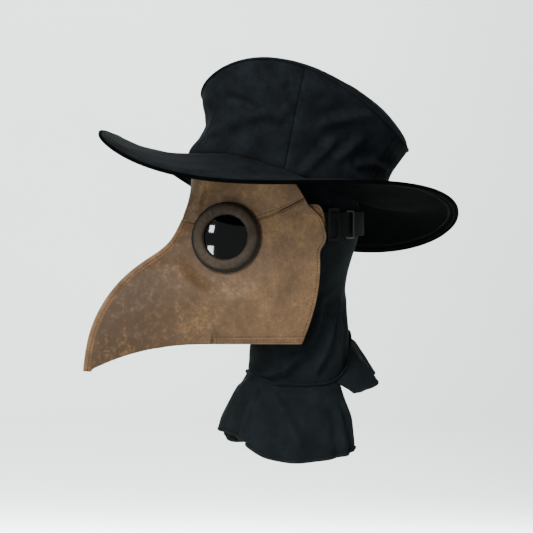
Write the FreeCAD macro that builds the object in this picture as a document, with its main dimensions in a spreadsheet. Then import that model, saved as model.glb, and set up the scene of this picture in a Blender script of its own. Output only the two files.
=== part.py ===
"""Plague doctor head set: a beaked mask with goggles, worn over a hooded capelet and under a brimmed hat.

Frame: millimetres, +Z up, -Y the way the wearer faces, +X the wearer's left. The origin is on the
wearer's mid-plane, at eye height, in the middle of the head. Soft goods are plain closed solids.
"""

import FreeCAD, Part, Sketcher

import math
import os

from FreeCAD import Placement, Rotation, Vector

DOC = FreeCAD.newDocument("plague_doctor_mask")
SHEET = DOC.addObject("Spreadsheet::Sheet", "Sizes")

SIZES = {
    # mask leather
    "leather": 4.2,            # thickness of the moulded leather panels
    "mask_half": 82.0,         # half width of the mask at its rear edge, at eye height
    "jaw_half": 76.0,          # half width at the jaw
    "bridge_depth": 124.5,     # how far the nose bridge stands in front of the origin
    "bridge_height": 21.7,     # height of the nose bridge above eye height
    "beak_reach": 114.6,       # from the bridge forward to the tip
    "beak_drop": 169.0,        # from the bridge down to the tip
    "rear_depth": 12.0,        # rearmost point of the side panels
    "jaw_height": 117.0,       # lower edge of the jaw below eye height
    "mask_top": 72.0,          # upper edge of the forehead panel
    "binding_wide": 5.5,       # ridge binding, across the ridge
    "binding_thick": 5.2,
    "jaw_hem_tall": 7.0,
    "jaw_hem_thick": 1.8,
    "under_thick": 2.6,
    # goggles
    "goggle_side": 33.0,       # centre of the goggle, out from the mid-plane
    "goggle_fore": 81.5,       # and forward of the origin
    "goggle_rise": 1.5,
    "goggle_yaw": 30.0,        # how far the goggle turns towards the front, degrees
    "goggle_pitch": 9.0,       # and upwards
    "flange_rad": 40.0,
    "flange_thick": 3.2,
    "face_rad": 37.4,
    "face_thick": 5.2,
    "bezel_rad": 25.2,
    "lens_rad": 27.0,
    "lens_thick": 2.6,
    "lens_dome": 2.4,
    "washer_rad": 30.5,
    "washer_bore": 23.5,
    "washer_thick": 1.8,
    "hole_rad": 25.5,
    "seat_gap": 0.8,           # between the leather and what is sewn to it
    # strap
    "strap_high": 16.0,        # height of the strap's middle
    "strap_wide": 28.0,
    "strap_thick": 1.5,
    "band_rad": 68.2,          # inside of the elastic band round the back of the hood
    "band_depth": 20.0,        # the band's centre, behind the origin
    "tab_tall": 46.0,
    "tab_long": 22.0,
    "tab_thick": 3.6,
    "slider_long": 16.0,
    "slider_tall": 37.0,
    "slider_bar": 3.4,
    "slider_rail": 3.6,
    "wire_thick": 2.6,
    "wire_long": 15.0,
    # hood
    "cloth": 2.2,              # thickness of hood and capelet solids
    "hood_half": 66.0,
    "hood_back": 86.0,
    "hood_front": 80.0,
    "hood_top": 114.0,
    "face_half": 61.0,         # half width of the face opening
    "face_tall": 160.0,
    "face_low": 10.0,          # its middle below eye height
    "face_band": 7.0,          # width of the band round it
    "neck_half": 56.0,
    "seam_drop": 166.0,        # capelet seam below eye height, at the shoulder
    "hem_drop": 246.0,         # capelet hem below eye height, at the shoulder
    "hem_rad": 91.0,
    # hat
    "felt": 2.0,               # one layer of the hat's cloth
    "crown_half": 86.0,        # crown base, half width and half length
    "crown_long": 113.0,
    "crown_rise": 59.75,        # mean height of the crown seam
    "tip_half": 98.0,          # crown top
    "tip_long": 121.0,
    "tip_rise": 150.0,
    "tip_back": 22.0,          # the crown top leans back
    "tip_dome": 4.0,
    "brim_half": 165.0,
    "brim_long": 210.0,
    "brim_rise": 54.0,
    "brim_back": -8.0,
    "bind_wide": 3.0,
    "sweat_tall": 26.0,
    "gap": 0.4,                # clearance between soft pieces
}
for row, (alias, value) in enumerate(SIZES.items(), start=1):
    SHEET.set(f"A{row}", alias)
    SHEET.set(f"B{row}", str(value))
    SHEET.setAlias(f"B{row}", alias)
DOC.recompute()


def size(alias):
    """One driving dimension, read from the sheet."""
    return float(SHEET.get(alias))


GAP = size("gap")
SIDES = {"left": 1, "right": -1}


# ---------------------------------------------------------------- solids from grids of points


def skin(grid):
    """A smooth face through a grid of points."""
    surface = Part.BSplineSurface()
    surface.interpolate(grid)
    return surface


def border(surface):
    """The four edges of a skin, in a fixed order."""
    u0, u1, v0, v1 = surface.bounds()
    return [surface.uIso(u0), surface.uIso(u1), surface.vIso(v0), surface.vIso(v1)]


def slab(front, back):
    """A closed solid between two grids of the same shape, with ruled walls at its edges."""
    skins = skin(front), skin(back)
    faces = [s.toShape() for s in skins]
    for near, far in zip(border(skins[0]), border(skins[1])):
        faces.append(Part.makeRuledSurface(near.toShape(), far.toShape()))
    shell = Part.makeCompound(faces)
    shell.sewShape(1e-4)
    solid = Part.makeSolid(shell.Shells[0] if shell.Shells else Part.makeShell(shell.Faces))
    if solid.Volume < 0:
        solid.reverse()
    return solid


def inwards(grid, thick, centre):
    """The grid moved by thick along its normals, to the side of centre."""
    moved = []
    rows, columns = len(grid), len(grid[0])
    for i in range(rows):
        line = []
        for j in range(columns):
            down = grid[min(i + 1, rows - 1)][j] - grid[max(i - 1, 0)][j]
            along = grid[i][min(j + 1, columns - 1)] - grid[i][max(j - 1, 0)]
            normal = down.cross(along)
            normal.normalize()
            if normal.dot(centre - grid[i][j]) < 0:
                normal = normal * -1
            line.append(grid[i][j] + normal * thick)
        moved.append(line)
    return moved


def mirrored(grid):
    """The same grid on the wearer's other side."""
    return [[Vector(-p.x, p.y, p.z) for p in line] for line in grid]


def steps(start, end, count):
    """count even values from start to end."""
    return [start + (end - start) * i / (count - 1) for i in range(count)]


def feature(name, shape, placement=None):
    """A free-form sub-part of the document."""
    made = DOC.addObject("Part::Feature", name)
    made.Label = name
    made.Shape = shape
    if placement:
        made.Placement = placement
    return made


def largest(shape):
    """The biggest solid of a shape that a cut left in pieces."""
    return max(shape.Solids, key=lambda s: s.Volume)


def smooth(x):
    """0 below 0, 1 above 1, and a smooth rise between."""
    x = max(0.0, min(1.0, x))
    return x * x * (3 - 2 * x)


# ---------------------------------------------------------------- mask leather

# The beak's ridge from bridge to tip, as shares of its reach and drop.
RIDGE = [(0, 0), (0.143, 0.16), (0.356, 0.264), (0.598, 0.388), (0.798, 0.552), (0.939, 0.762), (1, 1)]
DART = -101.0          # where the beak's underside meets the jaw opening
SEAM_DIP = 14.0        # lowest point of the seam under the forehead panel, inside the goggle
SEAT_FLAT = 6.0        # how far past a goggle's rim the leather stays flat
SEAT_BLEND = 26.0      # and how far it then takes to ease back to its own shape


def ridge_curve():
    """The outline of the ridge binding in the mid-plane."""
    points = [
        Vector(
            0,
            -size("bridge_depth") - a * size("beak_reach"),
            size("bridge_height") - b * size("beak_drop"),
        )
        for a, b in RIDGE
    ]
    curve = Part.BSplineCurve()
    curve.interpolate(points)
    return curve


RIDGE_CURVE = ridge_curve()


def ridge_at(share, inset=0.0):
    """A point on the ridge outline, moved inset towards the inside of the beak."""
    first, last = RIDGE_CURVE.FirstParameter, RIDGE_CURVE.LastParameter
    at = first + (last - first) * share
    point, way = RIDGE_CURVE.value(at), RIDGE_CURVE.tangent(at)[0]
    return point + Vector(0, -way.z, way.y) * inset


INNER_RIDGE = [ridge_at(s, size("binding_wide") + GAP + 0.2) for s in steps(0, 1, 57)]


def front_at(height):
    """How far forward the leather begins at a height: the ridge below the bridge, the brow above it."""
    top = INNER_RIDGE[0]
    if height >= top.z:
        return top.y + 5.0 * smooth((height - top.z) / 50)
    for a, b in zip(INNER_RIDGE, INNER_RIDGE[1:]):
        if a.z >= height >= b.z:
            return a.y + (b.y - a.y) * (height - a.z) / (b.z - a.z)
    return INNER_RIDGE[-1].y


def rear_at(height):
    """The rear edge of the mask at a height."""
    return size("rear_depth") - 16 * ((height + 33) / 79) ** 2


def half_at(height):
    """The mask's half width at its rear reference, narrowing to the jaw."""
    share = smooth(-height / size("jaw_height"))
    return size("mask_half") + (size("jaw_half") - size("mask_half")) * share


YAW, PITCH = math.radians(size("goggle_yaw")), math.radians(size("goggle_pitch"))
GOGGLE = Vector(size("goggle_side"), -size("goggle_fore"), size("goggle_rise"))


def seated(natural, y, z):
    """The leather's place once it is drawn flat against the goggle's back."""
    front = front_at(z)
    share = max(0.0, (y - front) / (size("rear_depth") - front))
    flat = GOGGLE.x + (y - GOGGLE.y) * math.tan(YAW) - (z - GOGGLE.z) * math.tan(PITCH) / math.cos(YAW)
    away = math.hypot((y - GOGGLE.y) / math.cos(YAW), z - GOGGLE.z)
    pull = smooth((size("flange_rad") + SEAT_FLAT + SEAT_BLEND - away) / SEAT_BLEND) * smooth(share / 0.12)
    return natural + (flat - natural) * pull


def leather(y, z):
    """How far out the leather's outer face stands at a place in side view."""
    front = front_at(z)
    share = max(0.0, (y - front) / (size("rear_depth") - front))
    curve = 1.15 * share - 0.15 * share * share
    return seated(size("binding_thick") / 2 + half_at(z) * curve, y, z)


def seam_at(y):
    """The height of the seam between forehead panel and side panels."""
    low = -100.0
    if y < low:
        return SEAM_DIP + (size("bridge_height") - 0.5 - SEAM_DIP) * min(1.0, (low - y) / 19) ** 2
    return SEAM_DIP + 32 * ((y - low) / 96) ** 2


def lower_at(y):
    """The height of the lower edge of a side panel."""
    if y >= DART:
        return -size("jaw_height")
    tip = INNER_RIDGE[-1].y
    drop = size("beak_drop") - size("bridge_height") - size("jaw_height")
    return -size("jaw_height") - drop * ((DART - y) / (DART - tip)) ** 2.4


def side_grid(columns=25, rows=15):
    """The side panel's outer face, from ridge to rear edge and from seam to lower edge."""
    grid = []
    top_front, tip = INNER_RIDGE[0], INNER_RIDGE[-1]
    for v in steps(0, 1, rows):
        line = []
        left = INNER_RIDGE[round(v * (len(INNER_RIDGE) - 1))]
        rear_z = seam_at(-4) + (-size("jaw_height") - seam_at(-4)) * v
        right = Vector(0, rear_at(rear_z), rear_z)
        for u in steps(0, 1, columns):
            top_y = top_front.y + (rear_at(seam_at(-4)) - top_front.y) * u
            low_y = tip.y + (rear_at(-size("jaw_height")) - tip.y) * u
            top, low = Vector(0, top_y, seam_at(top_y)), Vector(0, low_y, lower_at(low_y))
            corner = (
                top_front * ((1 - u) * (1 - v))
                + Vector(0, rear_at(seam_at(-4)), seam_at(-4)) * (u * (1 - v))
                + tip * ((1 - u) * v)
                + Vector(0, rear_at(-size("jaw_height")), -size("jaw_height")) * (u * v)
            )
            at = top * (1 - v) + low * v + left * (1 - u) + right * u - corner
            line.append(Vector(leather(at.y, at.z), at.y, at.z))
        grid.append(line)
    return grid


def inner_face(outer):
    """Where the leather's inner face is, straight in from an outer one: thinner towards the ridge."""
    straight = size("leather") * 1.16      # the leather's thickness measured across the mask
    return outer - straight * (1 - math.exp(-outer / straight))


def lined(grid):
    """The inner face behind an outer one."""
    return [[Vector(inner_face(p.x), p.y, p.z) for p in line] for line in grid]


def goggle_place(side):
    """The goggle's own frame, a hair off the leather: its axis points out of the mask."""
    out = Vector(math.cos(PITCH) * math.cos(YAW) * side, -math.cos(PITCH) * math.sin(YAW), math.sin(PITCH))
    seat = Vector(GOGGLE.x * side, GOGGLE.y, GOGGLE.z) + out * size("seat_gap")
    return Placement(seat, Rotation(Vector(0, 0, 1), out))


def eye_hole(side):
    """The hole in the leather behind a lens."""
    bore = Part.makeCylinder(size("hole_rad"), 60, Vector(0, 0, -30))
    bore.Placement = goggle_place(side)
    return bore


SIDE_OUT = side_grid()
SIDE_IN = lined(SIDE_OUT)
for name, side in SIDES.items():
    front, back = (SIDE_OUT, SIDE_IN) if side > 0 else (mirrored(SIDE_OUT), mirrored(SIDE_IN))
    feature(f"beak_side_{name}", largest(slab(front, back).cut(eye_hole(side))))


def brow_point(turn, rise):
    """A point of the forehead panel: turn runs from temple to temple, rise from seam to upper edge."""
    share = abs(turn) ** 1.4
    rear = rear_at(seam_at(-4))
    low_y = INNER_RIDGE[0].y + (rear - INNER_RIDGE[0].y) * share
    low = Vector(leather(low_y, seam_at(low_y)), low_y, seam_at(low_y) + size("seat_gap") + GAP)
    bearing = math.radians(84) * abs(turn)
    top = Vector(0.9 * half_at(0) * math.sin(bearing), -8 - 104 * math.cos(bearing), size("mask_top"))
    at = low + (top - low) * rise
    x = seated(at.x, at.y, at.z) if rise > 0 else at.x
    return Vector(math.copysign(x * smooth(abs(turn) / 0.04), turn), at.y, at.z)


BROW_OUT = [[brow_point(turn, rise) for turn in steps(-1, 1, 33)] for rise in steps(0, 1, 8)]
BROW_IN = inwards(BROW_OUT, size("leather"), Vector(0, 0, 40))
brow = slab(BROW_OUT, BROW_IN)
for side in SIDES.values():
    brow = brow.cut(eye_hole(side))
feature("forehead_panel", largest(brow))

BINDING = [[ridge_at(s, size("binding_wide") * w) for w in (0, 1)] for s in steps(0, 1, 29)]
HALF_BINDING = Vector(size("binding_thick") / 2, 0, 0)


def shifted(grid, by):
    """The grid moved as a whole."""
    return [[p + by for p in line] for line in grid]


feature("ridge_binding", slab(shifted(BINDING, HALF_BINDING), shifted(BINDING, HALF_BINDING * -1)))


def inner_half(y, z):
    """The half width inside the leather at a place in side view."""
    return inner_face(leather(y, z)) - 2 * GAP


def under_grid(lift):
    """The beak's underside between the side panels."""
    start = DART + 1.0
    stop = next(y for y in steps(INNER_RIDGE[-1].y + 4, start, 60) if inner_half(y, lower_at(y) + 3) > 2.5)
    grid = []
    for y in steps(stop, start, 9):
        height = lower_at(y) + 1.5 + lift
        half = inner_half(y, lower_at(y) + 3)
        grid.append([Vector(half * s, y, height) for s in steps(-1, 1, 5)])
    return grid


feature("beak_under_panel", slab(under_grid(0), under_grid(size("under_thick"))))


def jaw_hem_grid(inset):
    """The turned-in hem along the jaw."""
    grid = []
    low = -size("jaw_height") + 0.5
    for z in (low, low + size("jaw_hem_tall")):
        line = []
        for y in steps(DART + 4, rear_at(-size("jaw_height")) - 1, 9):
            line.append(Vector(inner_half(y, z) - inset, y, z))
        grid.append(line)
    return grid


for name, side in SIDES.items():
    outer, inner = jaw_hem_grid(0.2), jaw_hem_grid(0.2 + size("jaw_hem_thick"))
    if side < 0:
        outer, inner = mirrored(outer), mirrored(inner)
    feature(f"jaw_hem_{name}", slab(outer, inner))


# ---------------------------------------------------------------- sketched parts


def origin_plane(body, role):
    """One of a body's own origin planes or axes."""
    return next(o for o in body.Origin.OriginFeatures if o.Role == role)


def body_with_sketch(name, corners, plane="XZ_Plane"):
    """A body whose sketch has these corners, each bound to the sheet by a pair of expressions."""
    body = DOC.addObject("PartDesign::Body", name)
    body.Label = name
    sketch = body.newObject("Sketcher::SketchObject", f"{name}_sketch")
    sketch.AttachmentSupport = [(origin_plane(body, plane), "")]
    sketch.MapMode = "FlatFace"
    add_loop(sketch, corners)
    return body, sketch


def add_loop(sketch, corners):
    """A closed run of lines through bound corners."""
    first = sketch.GeometryCount
    at = [Vector(*(float(sketch.evalExpression(e)) for e in pair), 0) for pair in corners]
    count = len(corners)
    for i in range(count):
        sketch.addGeometry(Part.LineSegment(at[i], at[(i + 1) % count]), False)
    for i in range(count):
        sketch.addConstraint(Sketcher.Constraint("Coincident", first + i, 2, first + (i + 1) % count, 1))
    for i, pair in enumerate(corners):
        for axis, expression, value in (("X", pair[0], at[i].x), ("Y", pair[1], at[i].y)):
            index = sketch.addConstraint(Sketcher.Constraint(f"Distance{axis}", -1, 1, first + i, 1, value))
            sketch.setExpression(f"Constraints[{index}]", expression)


def revolved(name, corners, placement):
    """A body turned about its own Z axis from a half section of (radius, height) corners."""
    body, sketch = body_with_sketch(name, corners)
    turn = body.newObject("PartDesign::Revolution", f"{name}_turn")
    turn.Profile = sketch
    turn.ReferenceAxis = (sketch, ["V_Axis"])
    turn.Angle = 360.0
    sketch.Visibility = False
    body.Placement = placement
    return body


S = "Sizes."
FLANGE = [
    (f"{S}lens_rad + 0.2", "0"),
    (f"{S}flange_rad", "0"),
    (f"{S}flange_rad", f"{S}flange_thick - 1"),
    (f"{S}flange_rad - 1", f"{S}flange_thick"),
    (f"{S}lens_rad + 0.2", f"{S}flange_thick"),
]
FACE = [
    (f"{S}bezel_rad", f"{S}flange_thick"),
    (f"{S}face_rad", f"{S}flange_thick"),
    (f"{S}face_rad", f"{S}flange_thick + {S}face_thick - 2.2"),
    (f"{S}face_rad - 1.2", f"{S}flange_thick + {S}face_thick - 1"),
    (f"{S}face_rad - 4", f"{S}flange_thick + {S}face_thick"),
    (f"{S}bezel_rad + 3", f"{S}flange_thick + {S}face_thick"),
    (f"{S}bezel_rad + 0.8", f"{S}flange_thick + {S}face_thick - 0.8"),
    (f"{S}bezel_rad", f"{S}flange_thick + {S}face_thick - 2.2"),
]
BEHIND = f"-{S}leather - 2.5 * {S}seat_gap"
WASHER = [
    (f"{S}washer_bore", f"{BEHIND} - {S}washer_thick"),
    (f"{S}washer_rad", f"{BEHIND} - {S}washer_thick"),
    (f"{S}washer_rad", BEHIND),
    (f"{S}washer_bore", BEHIND),
]
GASKET = [
    (f"{S}washer_bore", "0"),
    (f"{S}hole_rad - 0.1", "0"),
    (f"{S}hole_rad - 0.1", f"{S}flange_thick - {S}lens_thick"),
    (f"{S}washer_bore", f"{S}flange_thick - {S}lens_thick"),
]


def lens_corners():
    """A flat-backed lens with a gently domed front inside the bezel."""
    top = f"{S}flange_thick"
    inside = f"({S}bezel_rad - 0.4)"
    back = f"{S}flange_thick - {S}lens_thick"
    corners = [("0", back), (f"{S}lens_rad", back)]
    corners.append((f"{S}lens_rad", top))
    for share in (1.0, 0.86, 0.7, 0.5, 0.25):
        corners.append((f"{inside} * {share}", f"{top} + {S}lens_dome * {1 - share * share}"))
    corners.append(("0", f"{top} + {S}lens_dome"))
    return corners


for name, side in SIDES.items():
    place = goggle_place(side)
    revolved(f"goggle_flange_{name}", FLANGE, place)
    revolved(f"goggle_face_ring_{name}", FACE, place)
    revolved(f"lens_{name}", lens_corners(), place)
    revolved(f"lens_gasket_{name}", GASKET, place)
    revolved(f"goggle_washer_{name}", WASHER, place)


# ---------------------------------------------------------------- strap

REAR_SLOPE = math.atan((leather(rear_at(size("strap_high")), size("strap_high"))
                        - leather(rear_at(size("strap_high")) - 6, size("strap_high"))) / 6)


def frame(origin, along, up=Vector(0, 0, 1)):
    """A placement whose X runs along, Y up, and Z out of the strap's outer face."""
    out = along.cross(up)
    matrix = FreeCAD.Matrix(
        along.x, up.x, out.x, origin.x,
        along.y, up.y, out.y, origin.y,
        along.z, up.z, out.z, origin.z,
        0, 0, 0, 1,
    )
    return Placement(matrix)


def strap_frames(side):
    """Where the tab, the straight webbing and the wire ring lie, each as a placement."""
    rear = rear_at(size("strap_high"))
    edge = Vector(leather(rear, size("strap_high")), rear, size("strap_high"))
    tangent = Vector(math.sin(REAR_SLOPE), math.cos(REAR_SLOPE), 0)
    outward = Vector(math.cos(REAR_SLOPE), -math.sin(REAR_SLOPE), 0)
    tab = edge - outward * (size("leather") + GAP + 1.2)
    behind_tab = size("tab_thick") + size("strap_thick") + GAP
    start = tab + tangent * (size("tab_long") * 0.3) - outward * behind_tab
    centre = Vector(0, size("band_depth"), size("strap_high"))
    radius = size("band_rad") + size("strap_thick") / 2
    arm = start - centre
    bearing = math.atan2(arm.y, arm.x)
    touch = bearing + math.acos(radius / arm.Length)
    meet = centre + Vector(math.cos(touch), math.sin(touch), 0) * radius
    run = meet - start
    ring_turn = touch + (size("wire_long") * 0.5 + 2 * size("wire_thick")) / radius
    ring = centre + Vector(math.cos(ring_turn), math.sin(ring_turn), 0) * radius
    ring_way = Vector(-math.sin(ring_turn), math.cos(ring_turn), 0)
    found = {
        "tab": (tab, tangent),
        "web": (start, run.normalize()),
        "ring": (ring, ring_way),
    }
    placed = {}
    for key, (point, way) in found.items():
        placed[key] = frame(Vector(point.x * side, point.y, point.z), Vector(way.x * side, way.y, way.z))
    placed["length"] = (meet - start).Length
    placed["ring_turn"] = ring_turn
    return placed


WEB_LONG = strap_frames(1)["length"]


def tab_shape(side):
    """A rounded leather tab, sewn inside the panel's rear edge; its outer face is at local Z 0."""
    tall, long = size("tab_tall") / 2, size("tab_long") * 0.5
    corner_top, corner_low = Vector(long * 0.4, tall * 0.78, 0), Vector(long * 0.4, -tall * 0.78, 0)
    bulge = Part.Arc(corner_top, Vector(long, 0, 0), corner_low)
    edges = [
        Part.LineSegment(Vector(-long, tall, 0), Vector(0, tall, 0)),
        Part.LineSegment(Vector(0, tall, 0), corner_top),
        bulge,
        Part.LineSegment(corner_low, Vector(0, -tall, 0)),
        Part.LineSegment(Vector(0, -tall, 0), Vector(-long, -tall, 0)),
        Part.LineSegment(Vector(-long, -tall, 0), Vector(-long, tall, 0)),
    ]
    wire = Part.Wire([e.toShape() for e in edges])
    return Part.Face(wire).extrude(Vector(0, 0, -size("tab_thick") * side))


def strap_shape():
    """The straight elastic from the tab to the wire ring."""
    long, wide, thick = WEB_LONG, size("strap_wide"), size("strap_thick")
    return Part.makeBox(long, wide, thick, Vector(0, -wide / 2, -thick / 2))


SLIDER_DEEP = 1.9      # depth of a slider's bars on each face of the webbing

for name, side in SIDES.items():
    at = strap_frames(side)
    feature(f"strap_tab_{name}", tab_shape(side), at["tab"])
    feature(f"elastic_strap_{name}", strap_shape(), at["web"])

    slider = DOC.addObject("Part::MultiFuse", f"strap_slider_{name}")
    slider.Label = f"strap_slider_{name}"
    boxes = []
    clear = size("strap_thick") / 2 + 0.35
    middle = WEB_LONG * 0.52
    for index, share in enumerate((0.0, 0.5, 1.0)):
        bar = DOC.addObject("Part::Box", f"{name}_bar_{index}")
        bar.setExpression("Length", f"{S}slider_bar")
        bar.setExpression("Width", f"{S}slider_tall")
        bar.Height = SLIDER_DEEP
        start = middle - size("slider_long") / 2 + (size("slider_long") - size("slider_bar")) * share
        outside = (share != 0.5) == (side > 0)
        level = clear if outside else -clear - SLIDER_DEEP
        bar.Placement = Placement(Vector(start, -size("slider_tall") / 2, level), Rotation())
        boxes.append(bar)
    for index, end in enumerate((-1, 1)):
        rail = DOC.addObject("Part::Box", f"{name}_rail_{index}")
        rail.setExpression("Length", f"{S}slider_long")
        rail.setExpression("Width", f"{S}slider_rail")
        rail.Height = 2 * (clear + SLIDER_DEEP)
        inside = size("slider_tall") / 2 - (size("slider_rail") if end > 0 else 0)
        low = inside if end > 0 else -size("slider_tall") / 2
        rail.Placement = Placement(Vector(middle - size("slider_long") / 2, low, -clear - SLIDER_DEEP), Rotation())
        boxes.append(rail)
    slider.Shapes = boxes
    slider.Placement = at["web"]

    half_long, half_tall = size("wire_long") / 2, size("strap_wide") / 2 + 2.2
    corner, low = 3.0, -size("wire_thick") / 2
    path = Part.makePolygon(
        [
            Vector(-half_long, -half_tall, low),
            Vector(half_long, -half_tall, low),
            Vector(half_long, half_tall, low),
            Vector(-half_long, half_tall, low),
            Vector(-half_long, -half_tall, low),
        ]
    )
    frame_out = Part.Face(Part.Wire(path.Edges)).extrude(Vector(0, 0, size("wire_thick")))
    hole = Part.makeBox(
        2 * half_long - 2 * size("wire_thick"), 2 * half_tall - 2 * size("wire_thick"), size("wire_thick"),
        Vector(-half_long + size("wire_thick"), -half_tall + size("wire_thick"), low),
    )
    upright = [e for e in frame_out.Edges if abs(e.Vertexes[0].Z - e.Vertexes[1].Z) > 1]
    ring = frame_out.makeFillet(corner, upright).cut(hole)
    long_edges = [e for e in ring.Edges if e.Length > 5]
    ring = ring.makeFillet(size("wire_thick") * 0.35, long_edges)
    feature(f"wire_ring_{name}", ring, at["ring"])


def band_shape():
    """The band round the back of the hood, from one wire ring to the other."""
    turn = strap_frames(1)["ring_turn"] + (size("wire_long") / 2 + GAP + 1.5) / size("band_rad")
    ends = math.degrees(turn), 180 - math.degrees(turn)
    up, wide = Vector(0, 0, 1), size("strap_wide")
    outer_rad = size("band_rad") + size("strap_thick")
    outer = Part.makeCylinder(outer_rad, wide, Vector(), up, ends[1] - ends[0])
    inner = Part.makeCylinder(size("band_rad"), wide, Vector(), up, 360)
    band = outer.cut(inner)
    band.rotate(Vector(), up, ends[0])
    band.translate(Vector(0, size("band_depth"), size("strap_high") - size("strap_wide") / 2))
    return band


feature("rear_band", band_shape())


# ---------------------------------------------------------------- hood and capelet

NECK_BACK, NECK_FRONT = 72.0, 44.0
# Rows of the hood below its widest: height share, then half width, back and front as shares of
# the full sizes.
HOOD_ROWS = [
    (0.0, 1.0, 0.96, 1.0),
    (-0.2, 0.96, 0.87, 0.96),
    (-0.42, 0.87, 0.8, 0.86),
    (-0.66, 0.81, 0.785, 0.74),
]


def hood_row(height, half, back, front, columns):
    """Half an egg-shaped section of the hood, from the face round to the back, blunt behind."""
    middle = 20.0
    points = []
    for turn in steps(-math.pi / 2, math.pi / 2, columns):
        c, s = max(0.0, math.cos(turn)), math.sin(turn)
        power = 1.0 if s > 0 else 1.11
        reach = (back - middle) if s > 0 else (front + middle)
        points.append(Vector(c**power * half, middle + math.copysign(abs(s) ** power, s) * reach, height))
    return points


def hood_half_solid(gap, side, columns=19):
    """One half of the hood, down past the capelet's seam, its centre seam gap away from the mid-plane."""
    high, wide, back, front = (size(k) for k in ("hood_top", "hood_half", "hood_back", "hood_front"))
    grid = []
    for lift in (89.0, 82, 74, 65, 55, 44, 32, 20, 9):
        c, s = math.cos(math.radians(lift)) ** 0.9, math.sin(math.radians(lift))
        row_back, row_front = 20 + (back - 20) * c, (front + 20) * c - 20
        grid.append(hood_row(6 + (high - 6) * s, wide * c, row_back, row_front, columns))
    for z, h, b, f in HOOD_ROWS:
        grid.append(hood_row(z * high, wide * h, back * b, front * f, columns))
    for z, grow in ((-100.0, -2), (-130.0, 0), (-152.0, 0), (-174.0, 0)):
        grid.append(hood_row(z, size("neck_half") + grow, NECK_BACK - 2, NECK_FRONT, columns))
    inner = inwards(grid, size("cloth"), Vector(0, 20, -20))
    faces = []
    for face in (grid, inner):
        faces.append([[Vector(max(p.x, gap) * side, p.y, p.z) for p in line] for line in face])
    return slab(*faces)


def seam_height(y):
    """The capelet's seam: level round the shoulders, rising behind the neck and a little at the throat."""
    rise_back = NECK_BACK - 5 + 28
    back = 67 * max(0.0, (y + 20) / rise_back) ** 6
    throat = 12 * max(0.0, (-20 - y) / 24) ** 2
    return -size("seam_drop") + back + throat


def neck_ring(turn, out=0.0):
    """A point of the capelet's seam ring."""
    middle, reach = (NECK_BACK - NECK_FRONT) / 2, (NECK_BACK + NECK_FRONT) / 2 + out
    y = middle + reach * math.sin(turn)
    return Vector((size("neck_half") + out) * math.cos(turn), y, seam_height(min(y, NECK_BACK)))


def hem_ring(turn):
    """A point of the capelet's hem."""
    s = math.sin(turn)
    lift = 74 * max(0.0, s) ** 2.5 + 23 * max(0.0, -s) ** 3
    radius = size("hem_rad")
    return Vector(radius * math.cos(turn), 12.5 + (radius - 0.5) * s, -size("hem_drop") + lift)


def under_seam():
    """Everything below the capelet's seam, as a cutter for the hood."""
    grid = []
    for y in steps(-130, 130, 27):
        height = seam_height(max(-NECK_FRONT, min(y, NECK_BACK))) + 1.0
        grid.append([Vector(x, y, height) for x in (-130, -40, 40, 130)])
    low = [[Vector(p.x, p.y, -260) for p in line] for line in grid]
    return slab(grid, low)


def face_prism(grow):
    """The face opening as a prism running forward."""
    oval = Part.Ellipse(Vector(0, 0, 0), size("face_tall") / 2 + grow, size("face_half") + grow)
    face = Part.Face(Part.Wire([oval.toShape()]))
    face.rotate(Vector(), Vector(0, 0, 1), 90)
    face.rotate(Vector(), Vector(1, 0, 0), 90)
    face.translate(Vector(0, 8, -size("face_low")))
    return face.extrude(Vector(0, -160, 0))


SEAM_CUT = under_seam()
for name, side in SIDES.items():
    half = hood_half_solid(GAP / 2, side).cut([SEAM_CUT, face_prism(size("face_band") + GAP)])
    feature(f"hood_{name}", largest(half))
edges = []
for side in SIDES.values():
    edges.append(hood_half_solid(0.0, side).common(face_prism(size("face_band"))).cut(face_prism(0)))
feature("face_opening_band", edges[0].fuse(edges[1]))

GORES = {"left": (-45, 45), "back": (45, 135), "right": (135, 225), "front": (225, 315)}
GORE_GAP = 0.35


def gore(start, end, low, high, lift):
    """One gore of the capelet between two bearings, and two shares of its fall."""
    outer, inner = [], []
    for share in steps(low, high, 6 if high - low > 0.5 else 3):
        line_out, line_in = [], []
        for turn in steps(math.radians(start + GORE_GAP), math.radians(end - GORE_GAP), 9):
            top, hem = neck_ring(turn, 0.0), hem_ring(turn)
            swell = 8 * math.sin(math.pi * min(share, 1.0))
            way = Vector(math.cos(turn), math.sin(turn), 0)
            at = top + (hem - top) * share + way * swell + Vector(0, 0, lift)
            line_out.append(at)
            line_in.append(at - way * size("cloth"))
        outer.append(line_out)
        inner.append(line_in)
    return slab(outer, inner)


for name, (start, end) in GORES.items():
    feature(f"capelet_{name}", gore(start, end, 0.0, 1.0, 0.0))
feature(
    "capelet_hem",
    Part.makeCompound([gore(a, b, 1.005, 1.035, -GAP) for a, b in GORES.values()]),
)


# ---------------------------------------------------------------- hat


def waves(turn, mean, cos1, sin1, cos2, sin2, sin3=0.0):
    """A height that goes round a ring: tilt, lean and sag."""
    return (
        mean + cos1 * math.cos(turn) + sin1 * math.sin(turn)
        + cos2 * math.cos(2 * turn) + sin2 * math.sin(2 * turn) + sin3 * math.cos(3 * turn)
    )


def base_ring(turn, grow=0.0):
    """The seam between crown and brim."""
    z = waves(turn, size("crown_rise"), 7.5, -26, -2.25, -9)
    half, long = size("crown_half") + grow, size("crown_long") + grow
    return Vector(half * math.cos(turn), long * math.sin(turn), z)


def tip_ring(turn, grow=0.0):
    """The seam between the crown's side and its top."""
    z = waves(turn, size("tip_rise"), 12, -36, 14, -15)
    half, long = size("tip_half") + grow, size("tip_long") + grow
    return Vector(half * math.cos(turn), size("tip_back") + long * math.sin(turn), z)


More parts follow.
